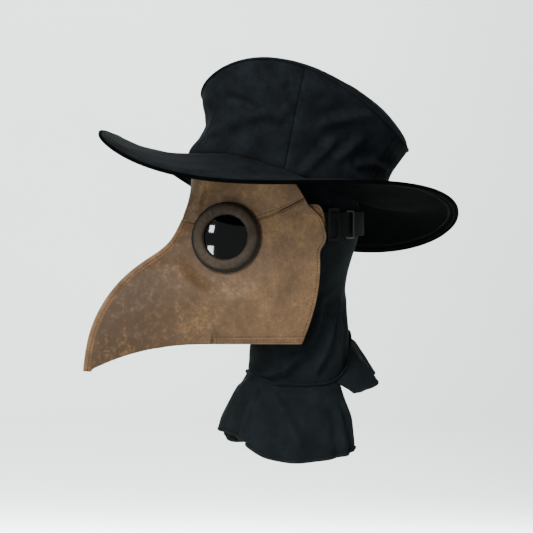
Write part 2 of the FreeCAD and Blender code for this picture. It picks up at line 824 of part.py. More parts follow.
def brim_edge(turn, grow=0.0):
    """The brim's outer edge: high in front, sagging behind on the wearer's right."""
    z = waves(turn, size("brim_rise"), 18, -52, -8, 27, 3)
    half, long = size("brim_half") + grow, size("brim_long") + grow
    return Vector(half * math.cos(turn), size("brim_back") + long * math.sin(turn), z)


def crown_wall(turn, share, inset):
    """A point of the crown's side between seam and top."""
    low, high = base_ring(turn, -inset), tip_ring(turn, -inset)
    pinch = -7 * math.sin(math.pi * share)
    lift = GAP * (1 - share) * 2
    return low + (high - low) * share + Vector(math.cos(turn) * pinch, math.sin(turn) * pinch, lift)


PANELS = 6
FIRST_SEAM = math.radians(-15.0)
for index in range(PANELS):
    start = FIRST_SEAM + 2 * math.pi * index / PANELS
    end = start + 2 * math.pi / PANELS
    turns = steps(start + 0.004, end - 0.004, 7)
    faces = []
    for inset in (0.0, size("felt")):
        faces.append([[crown_wall(t, s, inset) for t in turns] for s in steps(0.0, 0.992, 7)])
    feature(f"crown_panel_{index + 1}", slab(*faces))


def tip_grid(lift):
    """The crown's top, with its corners drawn out of a square."""
    grid = []
    for v in steps(-1, 1, 11):
        line = []
        for u in steps(-1, 1, 11):
            x, y = u * math.sqrt(1 - v * v / 2), v * math.sqrt(1 - u * u / 2)
            height = (
                size("tip_rise") + 12 * x - 36 * y + 14 * (x * x - y * y) - 15 * 2 * x * y
                + size("tip_dome") * (1 - x * x - y * y)
            )
            line.append(Vector(size("tip_half") * x, size("tip_back") + size("tip_long") * y, height + lift))
        grid.append(line)
    return grid


feature("crown_tip", slab(tip_grid(0.3), tip_grid(0.3 + size("felt"))))


def ring_slab(inner_ring, outer_ring, thick, lift, arcs=2, rows=4, fall=None):
    """A flat ring between two closed curves, made of arcs that share their end walls."""
    pieces = []
    for arc in range(arcs):
        start, end = 2 * math.pi * arc / arcs - math.pi / 2, 2 * math.pi * (arc + 1) / arcs - math.pi / 2
        turns = steps(start, end, 17)
        grid = []
        for share in steps(0, 1, rows):
            grid.append([
                inner_ring(t) + (outer_ring(t) - inner_ring(t)) * share + Vector(0, 0, lift) for t in turns
            ])
        pieces.append(slab(grid, [[p + Vector(0, 0, thick) for p in line] for line in grid]))
    return pieces


for index, name in enumerate(("left", "right")):
    for layer, lift in (("top", 0.1), ("under", -size("felt") - 0.1)):
        pieces = ring_slab(
            lambda t: base_ring(t, 0.5), lambda t: brim_edge(t, -size("bind_wide")), size("felt"),
            lift - size("felt") - 0.3,
        )
        feature(f"brim_{layer}_{name}", pieces[index])
binding = ring_slab(
    lambda t: brim_edge(t, -size("bind_wide") + 0.1), lambda t: brim_edge(t, 0),
    2 * size("felt") + 0.2, -2 * size("felt") - 0.4, rows=3,
)
feature("brim_binding", binding[0].fuse(binding[1]))


def sweat_wall(turn, share, inset):
    """A point of the sweatband, just inside the crown's seam."""
    rise = (tip_ring(turn) - base_ring(turn)).z
    return crown_wall(turn, share * size("sweat_tall") / rise, size("felt") + GAP + inset)


sweat = []
for start, end in ((-90, 90), (90, 270)):
    turns = steps(math.radians(start), math.radians(end), 17)
    sides = [[[sweat_wall(t, s, inset) for t in turns] for s in (0, 0.5, 1)] for inset in (0, 1.2)]
    sweat.append(slab(*sides))
feature("sweatband", sweat[0].fuse(sweat[1]))


# ---------------------------------------------------------------- checks and export

DOC.recompute()
HELPERS = ("_bar_", "_rail_")
KINDS = ("Part::Feature", "PartDesign::Body", "Part::MultiFuse")
PARTS = [o for o in DOC.Objects if o.TypeId in KINDS and not any(h in o.Name for h in HELPERS)]
for item in DOC.Objects:
    if "Invalid" in item.State or "Error" in item.State:
        raise RuntimeError(f"{item.Label} failed: {item.State}")
os.makedirs("parts", exist_ok=True)
for item in PARTS:
    shape = item.Shape
    if shape.isNull() or not shape.isValid() or shape.Volume <= 0 or not shape.Solids:
        raise RuntimeError(f"{item.Label} has a bad shape, volume {0 if shape.isNull() else shape.Volume}")
    shape.exportStep(f"parts/{item.Label}.step")
    print(f"{item.Label:24s} solids {len(shape.Solids)}  volume {shape.Volume:10.0f} mm3")
print(len(PARTS), "sub-parts")
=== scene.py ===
"""A plague doctor's mask, goggles, hood, capelet and hat, dressed for one studio picture.

Shapes are worked out in millimetres in the part's own frame (+Z up, -Y ahead, +X the wearer's left)
and become metres when a mesh is made.
"""

import logging
import math
from collections.abc import Sequence
from dataclasses import dataclass, field
from enum import Enum

import bpy
import numpy as np
from mathutils import Matrix, Vector


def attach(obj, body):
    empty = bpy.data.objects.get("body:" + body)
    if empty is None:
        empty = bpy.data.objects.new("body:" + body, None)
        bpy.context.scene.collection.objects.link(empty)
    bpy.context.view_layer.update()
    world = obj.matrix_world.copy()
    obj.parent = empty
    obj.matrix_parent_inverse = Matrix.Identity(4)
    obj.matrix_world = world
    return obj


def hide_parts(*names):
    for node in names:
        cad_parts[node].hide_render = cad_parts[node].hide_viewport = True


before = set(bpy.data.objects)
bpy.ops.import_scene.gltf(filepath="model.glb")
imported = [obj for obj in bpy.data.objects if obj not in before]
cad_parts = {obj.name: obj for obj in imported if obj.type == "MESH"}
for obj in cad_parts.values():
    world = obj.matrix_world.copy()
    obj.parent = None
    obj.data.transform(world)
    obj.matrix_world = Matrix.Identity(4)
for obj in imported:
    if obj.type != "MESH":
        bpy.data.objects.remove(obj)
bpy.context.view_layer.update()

LOG = logging.getLogger("mask_set")
MM = 0.001
Array = np.ndarray
Line = Sequence[tuple[float, float]]
Socket = bpy.types.NodeSocket


class Side(Enum):
    """The wearer's two sides, with the sign of X on each."""

    LEFT = 1
    RIGHT = -1

    @property
    def tag(self) -> str:
        """The side's name as the part's nodes spell it."""
        return self.name.lower()


class Weave(Enum):
    """How a cloth's surface is made."""

    BRUSHED = "brushed"
    KNIT = "knit"
    RIBBED = "ribbed"
    PLAIN = "plain"


# ---------------------------------------------------------------- shape tools


def smooth(x: Array | float) -> Array:
    """0 below 0, 1 above 1, and a smooth rise between."""
    x = np.clip(x, 0.0, 1.0)
    return x * x * (3 - 2 * x)


def spline(knots: Array, values: Array, at: Array) -> Array:
    """A natural cubic curve through the values.

    Args:
        knots: Rising parameters, one per value.
        values: Rows to pass through, one per knot.
        at: Parameters to read the curve at.

    Returns:
        The curve's rows at those parameters.
    """
    knots, values = np.asarray(knots, float), np.asarray(values, float)
    count, gap = len(knots), np.diff(knots)
    system, right = np.eye(count), np.zeros_like(values)
    for i in range(1, count - 1):
        system[i, i - 1 : i + 2] = gap[i - 1], 2 * (gap[i - 1] + gap[i]), gap[i]
        right[i] = 6 * ((values[i + 1] - values[i]) / gap[i] - (values[i] - values[i - 1]) / gap[i - 1])
    bend = np.linalg.solve(system, right)
    i = np.clip(np.searchsorted(knots, at, side="right") - 1, 0, count - 2)
    h, t = gap[i], np.asarray(at) - knots[i]
    if values.ndim > 1:
        h, t = h[:, None], t[:, None]
    slope = (values[i + 1] - values[i]) / h - h * (2 * bend[i] + bend[i + 1]) / 6
    return values[i] + t * (slope + t * (bend[i] / 2 + t * (bend[i + 1] - bend[i]) / (6 * h)))


def line_distance(at: Array, line: Line) -> tuple[Array, Array]:
    """Signed distance from points to a run of straight pieces.

    Args:
        at: Points, with two numbers in the last axis.
        line: The corners of the run.

    Returns:
        The distance, positive to the left of the run, and the share of the run's length reached.
    """
    corners = np.array(line, float)
    spans = np.diff(corners, axis=0)
    lengths = np.hypot(spans[:, 0], spans[:, 1])
    reached = np.concatenate([[0.0], np.cumsum(lengths)])
    best = np.full(at.shape[:-1], 1e9)
    found, share = best.copy(), np.zeros(at.shape[:-1])
    for i, span in enumerate(spans):
        off = at - corners[i]
        t = np.clip((off @ span) / lengths[i] ** 2, 0, 1)
        gap = off - t[..., None] * span
        size = np.hypot(gap[..., 0], gap[..., 1])
        sign = np.sign(span[0] * off[..., 1] - span[1] * off[..., 0])
        near = size < best
        best = np.where(near, size, best)
        found = np.where(near, size * sign, found)
        share = np.where(near, (reached[i] + t * lengths[i]) / reached[-1], share)
    return found, share


def fold(at: Array, line: Line, wide: float, deep: float, fade: float = 0.15) -> Array:
    """The relief of a soft fold: a ridge with a hollow beside it.

    Args:
        at: Surface places, two lengths in mm each.
        line: The fold's run in the same lengths.
        wide: Half width of the ridge.
        deep: Height of the ridge; a negative one makes a crease.
        fade: Share of the run over which each end dies away.
    """
    away, share = line_distance(at, line)
    ends = smooth(share / fade) * smooth((1 - share) / fade)
    crest = np.exp(-((away / wide) ** 2))
    hollow = np.exp(-(((away - 1.7 * wide) / (1.3 * wide)) ** 2))
    return deep * ends * (crest - 0.55 * hollow)


def groove(away: Array, wide: float, deep: float) -> Array:
    """The relief of a seam's groove at a distance from it."""
    return -deep * np.exp(-np.abs(away) / wide)


def ripple(at: Array, size: float, seed: int) -> Array:
    """Gentle unevenness of about one unit, with waves near a size in mm."""
    random = np.random.default_rng(seed)
    total = np.zeros(at.shape[:-1])
    for _ in range(7):
        way = random.normal(size=at.shape[-1])
        way *= 2 * math.pi / (size * random.uniform(0.7, 1.6)) / np.linalg.norm(way)
        total += np.sin(at @ way + random.uniform(0, 2 * math.pi))
    return total / 3.0


def normals(grid: Array, centre: Sequence[float] = (0, 0, 0)) -> Array:
    """Unit normals of a grid of points, pointing away from a centre."""
    found = np.cross(np.gradient(grid, axis=0), np.gradient(grid, axis=1))
    found /= np.linalg.norm(found, axis=2, keepdims=True) + 1e-9
    outward = np.sum(found * (grid - np.array(centre, float)))
    return found if outward >= 0 else -found


def raised(grid: Array, relief: Array, centre: Sequence[float] = (0, 0, 0)) -> Array:
    """The grid moved along its own normals by a relief in mm."""
    return grid + normals(grid, centre) * relief[..., None]


def make_mesh(name: str, points: Array, faces: list, runs: Array | None = None) -> bpy.types.Object:
    """A smooth mesh object from points in mm, with surface lengths as its UV map."""
    mesh = bpy.data.meshes.new(name)
    mesh.from_pydata((points * MM).tolist(), [], faces)
    mesh.polygons.foreach_set("use_smooth", [True] * len(mesh.polygons))
    if runs is not None:
        loops = np.zeros(len(mesh.loops), int)
        mesh.loops.foreach_get("vertex_index", loops)
        mesh.uv_layers.new(name="lengths").data.foreach_set("uv", (runs[loops] * MM).ravel())
    obj = bpy.data.objects.new(name, mesh)
    bpy.context.scene.collection.objects.link(obj)
    return obj


@dataclass(frozen=True)
class Dress:
    """What a piece wears and belongs to: material, body, a slot name and the nodes it stands for."""

    finish: bpy.types.Material
    body: str
    slot: str
    nodes: tuple[str, ...] = ()

    def put_on(self, obj: bpy.types.Object) -> bpy.types.Object:
        """Gives the piece its material and body, and hides the CAD nodes it stands for."""
        obj.data.materials.append(self.finish)
        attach(obj, self.body)
        if self.nodes:
            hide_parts(*self.nodes)
        return obj


def panel(
    name: str,
    grid: Array,
    dress: Dress,
    thick: float = 0.0,
    centre: Sequence[float] = (0, 0, 0),
    loop: bool = False,
    drop: Array | None = None,
    edge: float = 0.35,
) -> bpy.types.Object:
    """A piece of sheet material whose outer face is a grid.

    Args:
        name: The piece's name.
        grid: Rows of points in mm.
        dress: What the piece wears.
        thick: Thickness, added on the inside.
        centre: A point inside, which tells the outer face from the inner.
        loop: Whether each row closes on itself.
        drop: True for each cell that is left open.
        edge: Width of the soft cut edge.
    """
    rows, columns = grid.shape[:2]
    index = np.arange(rows * columns).reshape(rows, columns)
    if loop:
        index = np.hstack([index, index[:, :1]])
    cells = np.stack([index[:-1, :-1], index[1:, :-1], index[1:, 1:], index[:-1, 1:]], axis=2)
    corner = grid.reshape(-1, 3)[cells]
    facing = np.cross(corner[:, :, 2] - corner[:, :, 0], corner[:, :, 3] - corner[:, :, 1])
    if np.sum(facing * (corner.mean(axis=2) - np.array(centre, float))) < 0:
        cells = cells[:, :, ::-1]
    keep = np.ones(cells.shape[:2], bool) if drop is None else ~drop
    across = np.concatenate([[0], np.cumsum(np.linalg.norm(np.diff(grid[rows // 2], axis=0), axis=1))])
    down = np.concatenate([[0], np.cumsum(np.linalg.norm(np.diff(grid[:, columns // 2], axis=0), axis=1))])
    runs = np.stack(np.meshgrid(across, down), axis=2).reshape(-1, 2)
    obj = make_mesh(name, grid.reshape(-1, 3), cells[keep].tolist(), runs)
    if drop is not None:
        remove_loose(obj)
    if thick:
        solid = obj.modifiers.new("thickness", "SOLIDIFY")
        solid.thickness, solid.offset, solid.use_even_offset = thick * MM, -1.0, False
        soften(obj, edge)
    return dress.put_on(obj)


def remove_loose(obj: bpy.types.Object) -> None:
    """Deletes points that no face uses."""
    mesh = obj.data
    used = np.zeros(len(mesh.loops), int)
    mesh.loops.foreach_get("vertex_index", used)
    kept = np.unique(used)
    points = np.array([v.co for v in mesh.vertices])[kept]
    uv = np.array([d.uv for d in mesh.uv_layers[0].data])
    order = np.searchsorted(kept, used).reshape(-1, 4)
    new = bpy.data.meshes.new(mesh.name)
    new.from_pydata(points.tolist(), [], order.tolist())
    new.polygons.foreach_set("use_smooth", [True] * len(new.polygons))
    new.uv_layers.new(name="lengths").data.foreach_set("uv", uv.ravel())
    obj.data = new


def soften(obj: bpy.types.Object, wide: float) -> None:
    """Rounds a piece's sharp edges by a width in mm."""
    bevel = obj.modifiers.new("edges", "BEVEL")
    bevel.width, bevel.segments, bevel.limit_method = wide * MM, 2, "ANGLE"
    bevel.angle_limit = math.radians(50)


def swept(
    name: str, path: Array, out: Array, section: Array, dress: Dress, closed: bool = False
) -> bpy.types.Object:
    """A bar, band or cord whose section follows a path.

    Args:
        name: The piece's name.
        path: Points of the centreline in mm.
        out: The section's first axis at each point.
        section: Corners of the section, (along out, across out), in mm.
        dress: What the piece wears.
        closed: Whether the path's ends meet.
    """
    if closed:
        way = np.roll(path, -1, axis=0) - np.roll(path, 1, axis=0)
    else:
        way = np.gradient(path, axis=0)
    way /= np.linalg.norm(way, axis=1, keepdims=True)
    out = out - np.sum(out * way, axis=1, keepdims=True) * way
    out /= np.linalg.norm(out, axis=1, keepdims=True)
    side = np.cross(way, out)
    points = path[:, None] + out[:, None] * section[None, :, :1] + side[:, None] * section[None, :, 1:]
    count, corners = points.shape[:2]
    faces, rounds = [], count if closed else count - 1
    for i in range(rounds):
        for j in range(corners):
            a, b, k = i * corners, (i + 1) % count * corners, (j + 1) % corners
            faces.append([a + j, a + k, b + k, b + j])
    if not closed:
        faces += [list(range(corners))[::-1], [(count - 1) * corners + j for j in range(corners)]]
    along = np.concatenate([[0], np.cumsum(np.linalg.norm(np.diff(path, axis=0), axis=1))])
    around = np.concatenate([[0], np.cumsum(np.linalg.norm(np.diff(section, axis=0), axis=1))])
    runs = np.stack(np.meshgrid(around, along), axis=2).reshape(-1, 2)
    return dress.put_on(make_mesh(name, points.reshape(-1, 3), faces, runs))


def rounded_box(thick: float, wide: float, corner: float, steps: int = 4) -> Array:
    """A rounded rectangle as a section: thick along the first axis, wide along the second."""
    points = []
    for x, y, start in ((1, 1, 0), (-1, 1, 90), (-1, -1, 180), (1, -1, 270)):
        for angle in np.radians(np.linspace(start, start + 90, steps)):
            across = x * (thick / 2 - corner) + corner * math.cos(angle)
            points.append((across, y * (wide / 2 - corner) + corner * math.sin(angle)))
    return np.array(points)


def round_section(radius: float, corners: int = 10) -> Array:
    """A circle as a section."""
    turn = np.linspace(0, 2 * math.pi, corners, endpoint=False)
    return np.stack([radius * np.cos(turn), radius * np.sin(turn)], axis=1)


def evenly(path: Array, pitch: float) -> tuple[Array, Array]:
    """Places a pitch apart along a path, and which piece of the path each is on, as a number."""
    reached = np.concatenate([[0], np.cumsum(np.linalg.norm(np.diff(path, axis=0), axis=1))])
    at = np.arange(pitch / 2, reached[-1], pitch)
    index = np.interp(at, reached, np.arange(len(path)))
    return np.stack([np.interp(index, np.arange(len(path)), path[:, k]) for k in range(3)], axis=1), index


@dataclass(frozen=True)
class Stitching:
    """A machine-sewn line: thread thickness, stitch length and pitch, in mm."""

    pitch: float = 3.4
    long: float = 2.5
    thread: float = 0.34

    def sew(self, name: str, runs: list[tuple[Array, Array]], dress: Dress) -> bpy.types.Object:
        """Lays stitches along paths, half sunk in the surface.

        Args:
            name: The piece's name.
            runs: Pairs of a path and the surface normal at each of its points.
            dress: What the thread wears.
        """
        points, faces = [], []
        for path, out in runs:
            at, index = evenly(path, self.pitch)
            knots = np.arange(len(path))
            ahead = np.stack([np.interp(index + 0.5, knots, path[:, k]) for k in range(3)], axis=1)
            behind = np.stack([np.interp(index - 0.5, knots, path[:, k]) for k in range(3)], axis=1)
            normal = np.stack([np.interp(index, np.arange(len(out)), out[:, k]) for k in range(3)], axis=1)
            for centre, way, up in zip(at, ahead - behind, normal):
                way = way / (np.linalg.norm(way) + 1e-9)
                up = up / (np.linalg.norm(up) + 1e-9)
                side = np.cross(way, up)
                first = len(points)
                for share, girth, lift in ((-1, 0.35, -0.7), (-0.6, 1, 0.2), (0.6, 1, 0.2), (1, 0.35, -0.7)):
                    ring = centre + way * share * self.long / 2 + up * lift * self.thread
                    for turn in np.linspace(0, 2 * math.pi, 6, endpoint=False):
                        spoke = side * math.cos(turn) + up * math.sin(turn)
                        points.append(ring + spoke * girth * self.thread)
                for i in range(3):
                    for j in range(6):
                        a, b, k = first + i * 6, first + i * 6 + 6, (j + 1) % 6
                        faces.append([a + j, b + j, b + k, a + k])
                faces += [[first + j for j in range(6)], [first + 18 + j for j in range(5, -1, -1)]]
        return dress.put_on(make_mesh(name, np.array(points), faces))


# ---------------------------------------------------------------- finishes


def linear(code: str) -> tuple[float, float, float, float]:
    """An sRGB hex colour as linear light with full opacity."""
    parts = [int(code[i : i + 2], 16) / 255 for i in (1, 3, 5)]
    return (*(c / 12.92 if c <= 0.04045 else ((c + 0.055) / 1.055) ** 2.4 for c in parts), 1.0)


class Graph:
    """One material's nodes, ending in a principled surface."""

    def __init__(self, name: str) -> None:
        self.material = bpy.data.materials.new(name)
        self.material.use_nodes = True
        self.tree = self.material.node_tree
        self.tree.nodes.clear()
        self.surface = self.add("ShaderNodeBsdfPrincipled")
        end = self.add("ShaderNodeOutputMaterial")
        self.tree.links.new(self.surface.outputs[0], end.inputs["Surface"])

    def add(self, kind: str, settings: dict | None = None, inputs: dict | None = None) -> bpy.types.Node:
        """Adds a node with settings, and fills its inputs with values or links from sockets."""
        node = self.tree.nodes.new(kind)
        for key, value in (settings or {}).items():
            setattr(node, key, value)
        for key, value in (inputs or {}).items():
            if isinstance(value, Socket):
                self.tree.links.new(value, node.inputs[key])
            else:
                node.inputs[key].default_value = value
        return node

    def set(self, **values: float | tuple | Socket) -> None:
        """Sets the surface's inputs; an underscore in a name is a space."""
        for key, value in values.items():
            socket = self.surface.inputs[key.replace("_", " ")]
            if isinstance(value, Socket):
                self.tree.links.new(value, socket)
            else:
                socket.default_value = value

    def noise(
        self, size: float, detail: float = 4.0, rough: float = 0.55, squeeze: tuple = (1, 1, 1)
    ) -> Socket:
        """Cloudy noise whose blobs are about a size in mm."""
        place = self.add("ShaderNodeTexCoord").outputs["Object"]
        place = self.add("ShaderNodeMapping", inputs={"Vector": place, "Scale": squeeze}).outputs[0]
        inputs = {"Vector": place, "Scale": 1000 / size, "Detail": detail, "Roughness": rough}
        return self.add("ShaderNodeTexNoise", inputs=inputs).outputs["Fac"]

    def ribs(self, size: float, across: bool = True) -> Socket:
        """Parallel ribs a size in mm apart, along or across the cloth."""
        place = self.add("ShaderNodeUVMap", {"uv_map": "lengths"}).outputs[0]
        settings = {"bands_direction": "X" if across else "Y"}
        inputs = {"Vector": place, "Scale": 0.314 / (size * MM), "Distortion": 0.6, "Detail": 1.0}
        return self.add("ShaderNodeTexWave", settings, inputs).outputs["Fac"]

    def ramp(self, fac: Socket, stops: Sequence[tuple[float, str]]) -> Socket:
        """Colours along a value."""
        node = self.add("ShaderNodeValToRGB", inputs={"Fac": fac})
        elements = node.color_ramp.elements
        for i, (at, code) in enumerate(stops):
            element = elements[i] if i < 2 else elements.new(at)
            element.position, element.color = at, linear(code)
        return node.outputs["Color"]

    def between(self, fac: Socket, low: float, high: float, start: float = 0.3, end: float = 0.7) -> Socket:
        """A value stretched from one range to another."""
        inputs = {"Value": fac, "From Min": start, "From Max": end, "To Min": low, "To Max": high}
        return self.add("ShaderNodeMapRange", inputs=inputs).outputs[0]

    def mix(self, fac: float | Socket, a: Socket | tuple, b: Socket | tuple, how: str = "MIX") -> Socket:
        """One colour laid over another."""
        node = self.add("ShaderNodeMix", {"data_type": "RGBA", "blend_type": how})
        for index, value in ((0, fac), (6, a), (7, b)):
            if isinstance(value, Socket):
                self.tree.links.new(value, node.inputs[index])
            else:
                node.inputs[index].default_value = value
        return node.outputs[2]

    def bump(self, height: Socket, deep: float, under: Socket | None = None) -> Socket:
        """A normal that follows a height, its full range being deep mm."""
        inputs = {"Height": height, "Distance": deep * MM, "Strength": 1.0}
        if under is not None:
            inputs["Normal"] = under
        return self.add("ShaderNodeBump", inputs=inputs).outputs[0]


@dataclass(frozen=True)
class Leather:
    """Coated imitation leather with rubbed patches, darker by a share towards the beak's tip, partly its own
    tone and partly painted shade; sizes in mm.
    """

    name: str
    base: str
    dark: str
    light: str
    rough: float = 0.6
    mottle: float = 42.0
    scuff: float = 11.0
    grain: float = 1.5
    specular: float = 0.35
    tip: float = 0.0
    painted_glint: str = "#97723f"

    def build(self) -> bpy.types.Material:
        """Clouds of wear, small light rubs, dark specks and patches of painted golden glint over a fine grain.
        """
        g = Graph(self.name)
        clouds, rubs = g.noise(self.mottle, 6, 0.62), g.noise(self.scuff, 7, 0.7)
        specks, fine = g.noise(self.scuff / 3, 4, 0.7), g.noise(self.grain, 3, 0.6)
        colour = g.ramp(clouds, ((0.18, self.dark), (0.5, self.base), (0.84, self.light)))
        # Painted shade: towards the beak's tip the colour is mixed into the dark leather, standing partly for
        # the beak's own darker tone and partly for the shade on it.
        if self.tip:
            place = g.add("ShaderNodeTexCoord").outputs["Object"]
            ahead = g.add("ShaderNodeSeparateXYZ", inputs={"Vector": place}).outputs["Y"]
            colour = g.mix(g.between(ahead, self.tip, 0.0, -0.18, -0.05), colour, linear(self.dark))
        colour = g.mix(g.between(rubs, 0.0, 0.4, 0.5, 0.72), colour, linear(self.light))
        colour = g.mix(g.between(rubs, 0.35, 0.0, 0.3, 0.46), colour, linear(self.dark))
        colour = g.mix(g.between(specks, 0.0, 0.6, 0.52, 0.7), colour, linear(self.dark))
        # Painted highlight: golden glints laid into the colour in noisy patches.
        glint_patches = g.mix(1.0, g.noise(self.scuff / 2, 5, 0.75), clouds, "MULTIPLY")
        colour = g.mix(g.between(glint_patches, 0.0, 0.6, 0.28, 0.46), colour, linear(self.painted_glint))
        normal = g.bump(fine, 0.12, g.bump(rubs, 0.25))
        worn = g.between(rubs, self.rough + 0.08, self.rough - 0.1)
        g.set(Base_Color=colour, Normal=normal, Roughness=worn)
        g.set(IOR=1.45, Specular_IOR_Level=self.specular, Sheen_Weight=0.05, Sheen_Roughness=0.5)
        return g.material


@dataclass(frozen=True)
class Cloth:
    """A textile; sizes in mm."""

    name: str
    base: str
    light: str
    weave: Weave
    rough: float = 0.9
    sheen: float = 0.3
    pitch: float = 1.2
    lint: float = 0.45
    specular: float = 0.2

    def build(self) -> bpy.types.Material:
        """Faint patches where the pile or yarn lies differently, over the weave's own relief."""
        g = Graph(self.name)
        patches, fibre = g.noise(24, 6, 0.65), g.noise(1.5, 3, 0.7)
        colour = g.mix(g.between(patches, 0.0, 1.0, 0.36, 0.68), linear(self.base), linear(self.light))
        colour = g.mix(g.between(fibre, 0.0, self.lint, 0.5, 0.8), colour, linear(self.light), "SCREEN")
        height = fibre
        if self.weave in (Weave.KNIT, Weave.RIBBED):
            height = g.ribs(self.pitch, self.weave is Weave.KNIT)
        if self.weave is Weave.PLAIN:
            height = g.mix(0.5, g.ribs(self.pitch), g.ribs(self.pitch, False), "MULTIPLY")
        deep = 0.35 if self.weave is Weave.BRUSHED else 0.22
        g.set(Base_Color=colour, Normal=g.bump(height, deep), Roughness=self.rough, IOR=1.45)
        g.set(Sheen_Weight=self.sheen, Sheen_Roughness=0.45, Sheen_Tint=linear(self.light))
        g.set(Specular_IOR_Level=self.specular)
        return g.material


@dataclass(frozen=True)
class Hard:
    """A moulded, plated or glossy surface."""

    name: str
    base: str
    rough: float
    metal: float = 0.0
    coat: float = 0.0
    specular: float = 0.5
    marks: float = 0.0

    def build(self) -> bpy.types.Material:
        """An even colour with faint handling marks in its gloss."""
        g = Graph(self.name)
        haze = g.between(g.noise(9, 4, 0.6), self.rough, self.rough + self.marks)
        g.set(Base_Color=linear(self.base), Roughness=haze, Metallic=self.metal, IOR=1.5)
        g.set(Coat_Weight=self.coat, Coat_Roughness=0.03, Coat_IOR=1.5, Specular_IOR_Level=self.specular)
        return g.material


class Wardrobe:
    """Every material of the set, named for what it is."""

    def __init__(self) -> None:
        # Taupe brown imitation leather, clouded and rubbed pale in places, with painted golden glints.
        # The mask leather's darkening towards the beak's tip is partly its own tone and partly painted shade.
        self.mask = Leather("faux_leather_taupe", "#674f37", "#453322", "#846748", scuff=8.0, tip=1.0).build()
        # The same leather dyed darker for the goggle rings, smoother.
        brown = ("#35291c", "#231a12", "#463724")
        self.ring = Leather("faux_leather_dark", *brown, 0.55, 30, 8, 1.2, 0.3, painted_glint="#4d3d2b").build()
        # The dark cut edge of the leather and its turned binding.
        burnt = ("#17120d", "#0f0b08", "#241b13")
        self.cut_edge = Leather("leather_edge_dark", *burnt, 0.7, painted_glint="#2c2219").build()
        self.binding = Leather("faux_leather_binding", "#70553c", "#483424", "#8c6c50", 0.62, 30, 8).build()
        # Near opaque black lens that mirrors the lamps.
        self.lens = Hard("acrylic_black", "#030405", 0.05, coat=0.3, marks=0.0, specular=0.3).build()
        self.rubber = Hard("rubber_black", "#111111", 0.65, marks=0.1, specular=0.3).build()
        self.plastic = Hard("nylon_black", "#060708", 0.55, marks=0.12, specular=0.25).build()
        self.steel = Hard("black_plated_wire", "#4a4d50", 0.3, 1.0, marks=0.12).build()
        # Brushed suedette of the hat, bluish black and lint-grey where it catches light.
        self.felt = Cloth("suedette_blue_black", "#080b0e", "#151b20", Weave.BRUSHED, 0.95, 0.25).build()
        # Matt black cotton under the brim, the darkest cloth of the set, darkened beyond the hat's cloth as
        # painted shade under the brim, and the hood's fine slightly glossy knit.
        black, blue = ("#040506", "#090b0c"), ("#0a1013", "#141c20")
        self.lining = Cloth("cotton_black_and_shade", *black, Weave.PLAIN, 0.95, 0.0, 0.8, 0.1, 0.02).build()
        self.jersey = Cloth("jersey_blue_black", *blue, Weave.KNIT, 0.85, 0.2, 1.1, 0.1).build()
        self.elastic = Cloth("elastic_black", "#0b0c0d", "#17191a", Weave.RIBBED, 0.8, 0.1, 1.3).build()
        # Brown polyester thread on the leather, black on the cloth.
        self.brown_thread = Cloth("thread_brown", "#2a1f16", "#463627", Weave.BRUSHED, 0.7, 0.1).build()
        self.black_thread = Cloth("thread_black", "#0b0d0e", "#1a1f22", Weave.BRUSHED, 0.7, 0.1).build()


# ---------------------------------------------------------------- mask

# The beak's ridge from bridge to tip, as shares of its reach and drop.
RIDGE = ((0, 0), (0.143, 0.16), (0.356, 0.264), (0.598, 0.388), (0.798, 0.552), (0.939, 0.762), (1, 1))


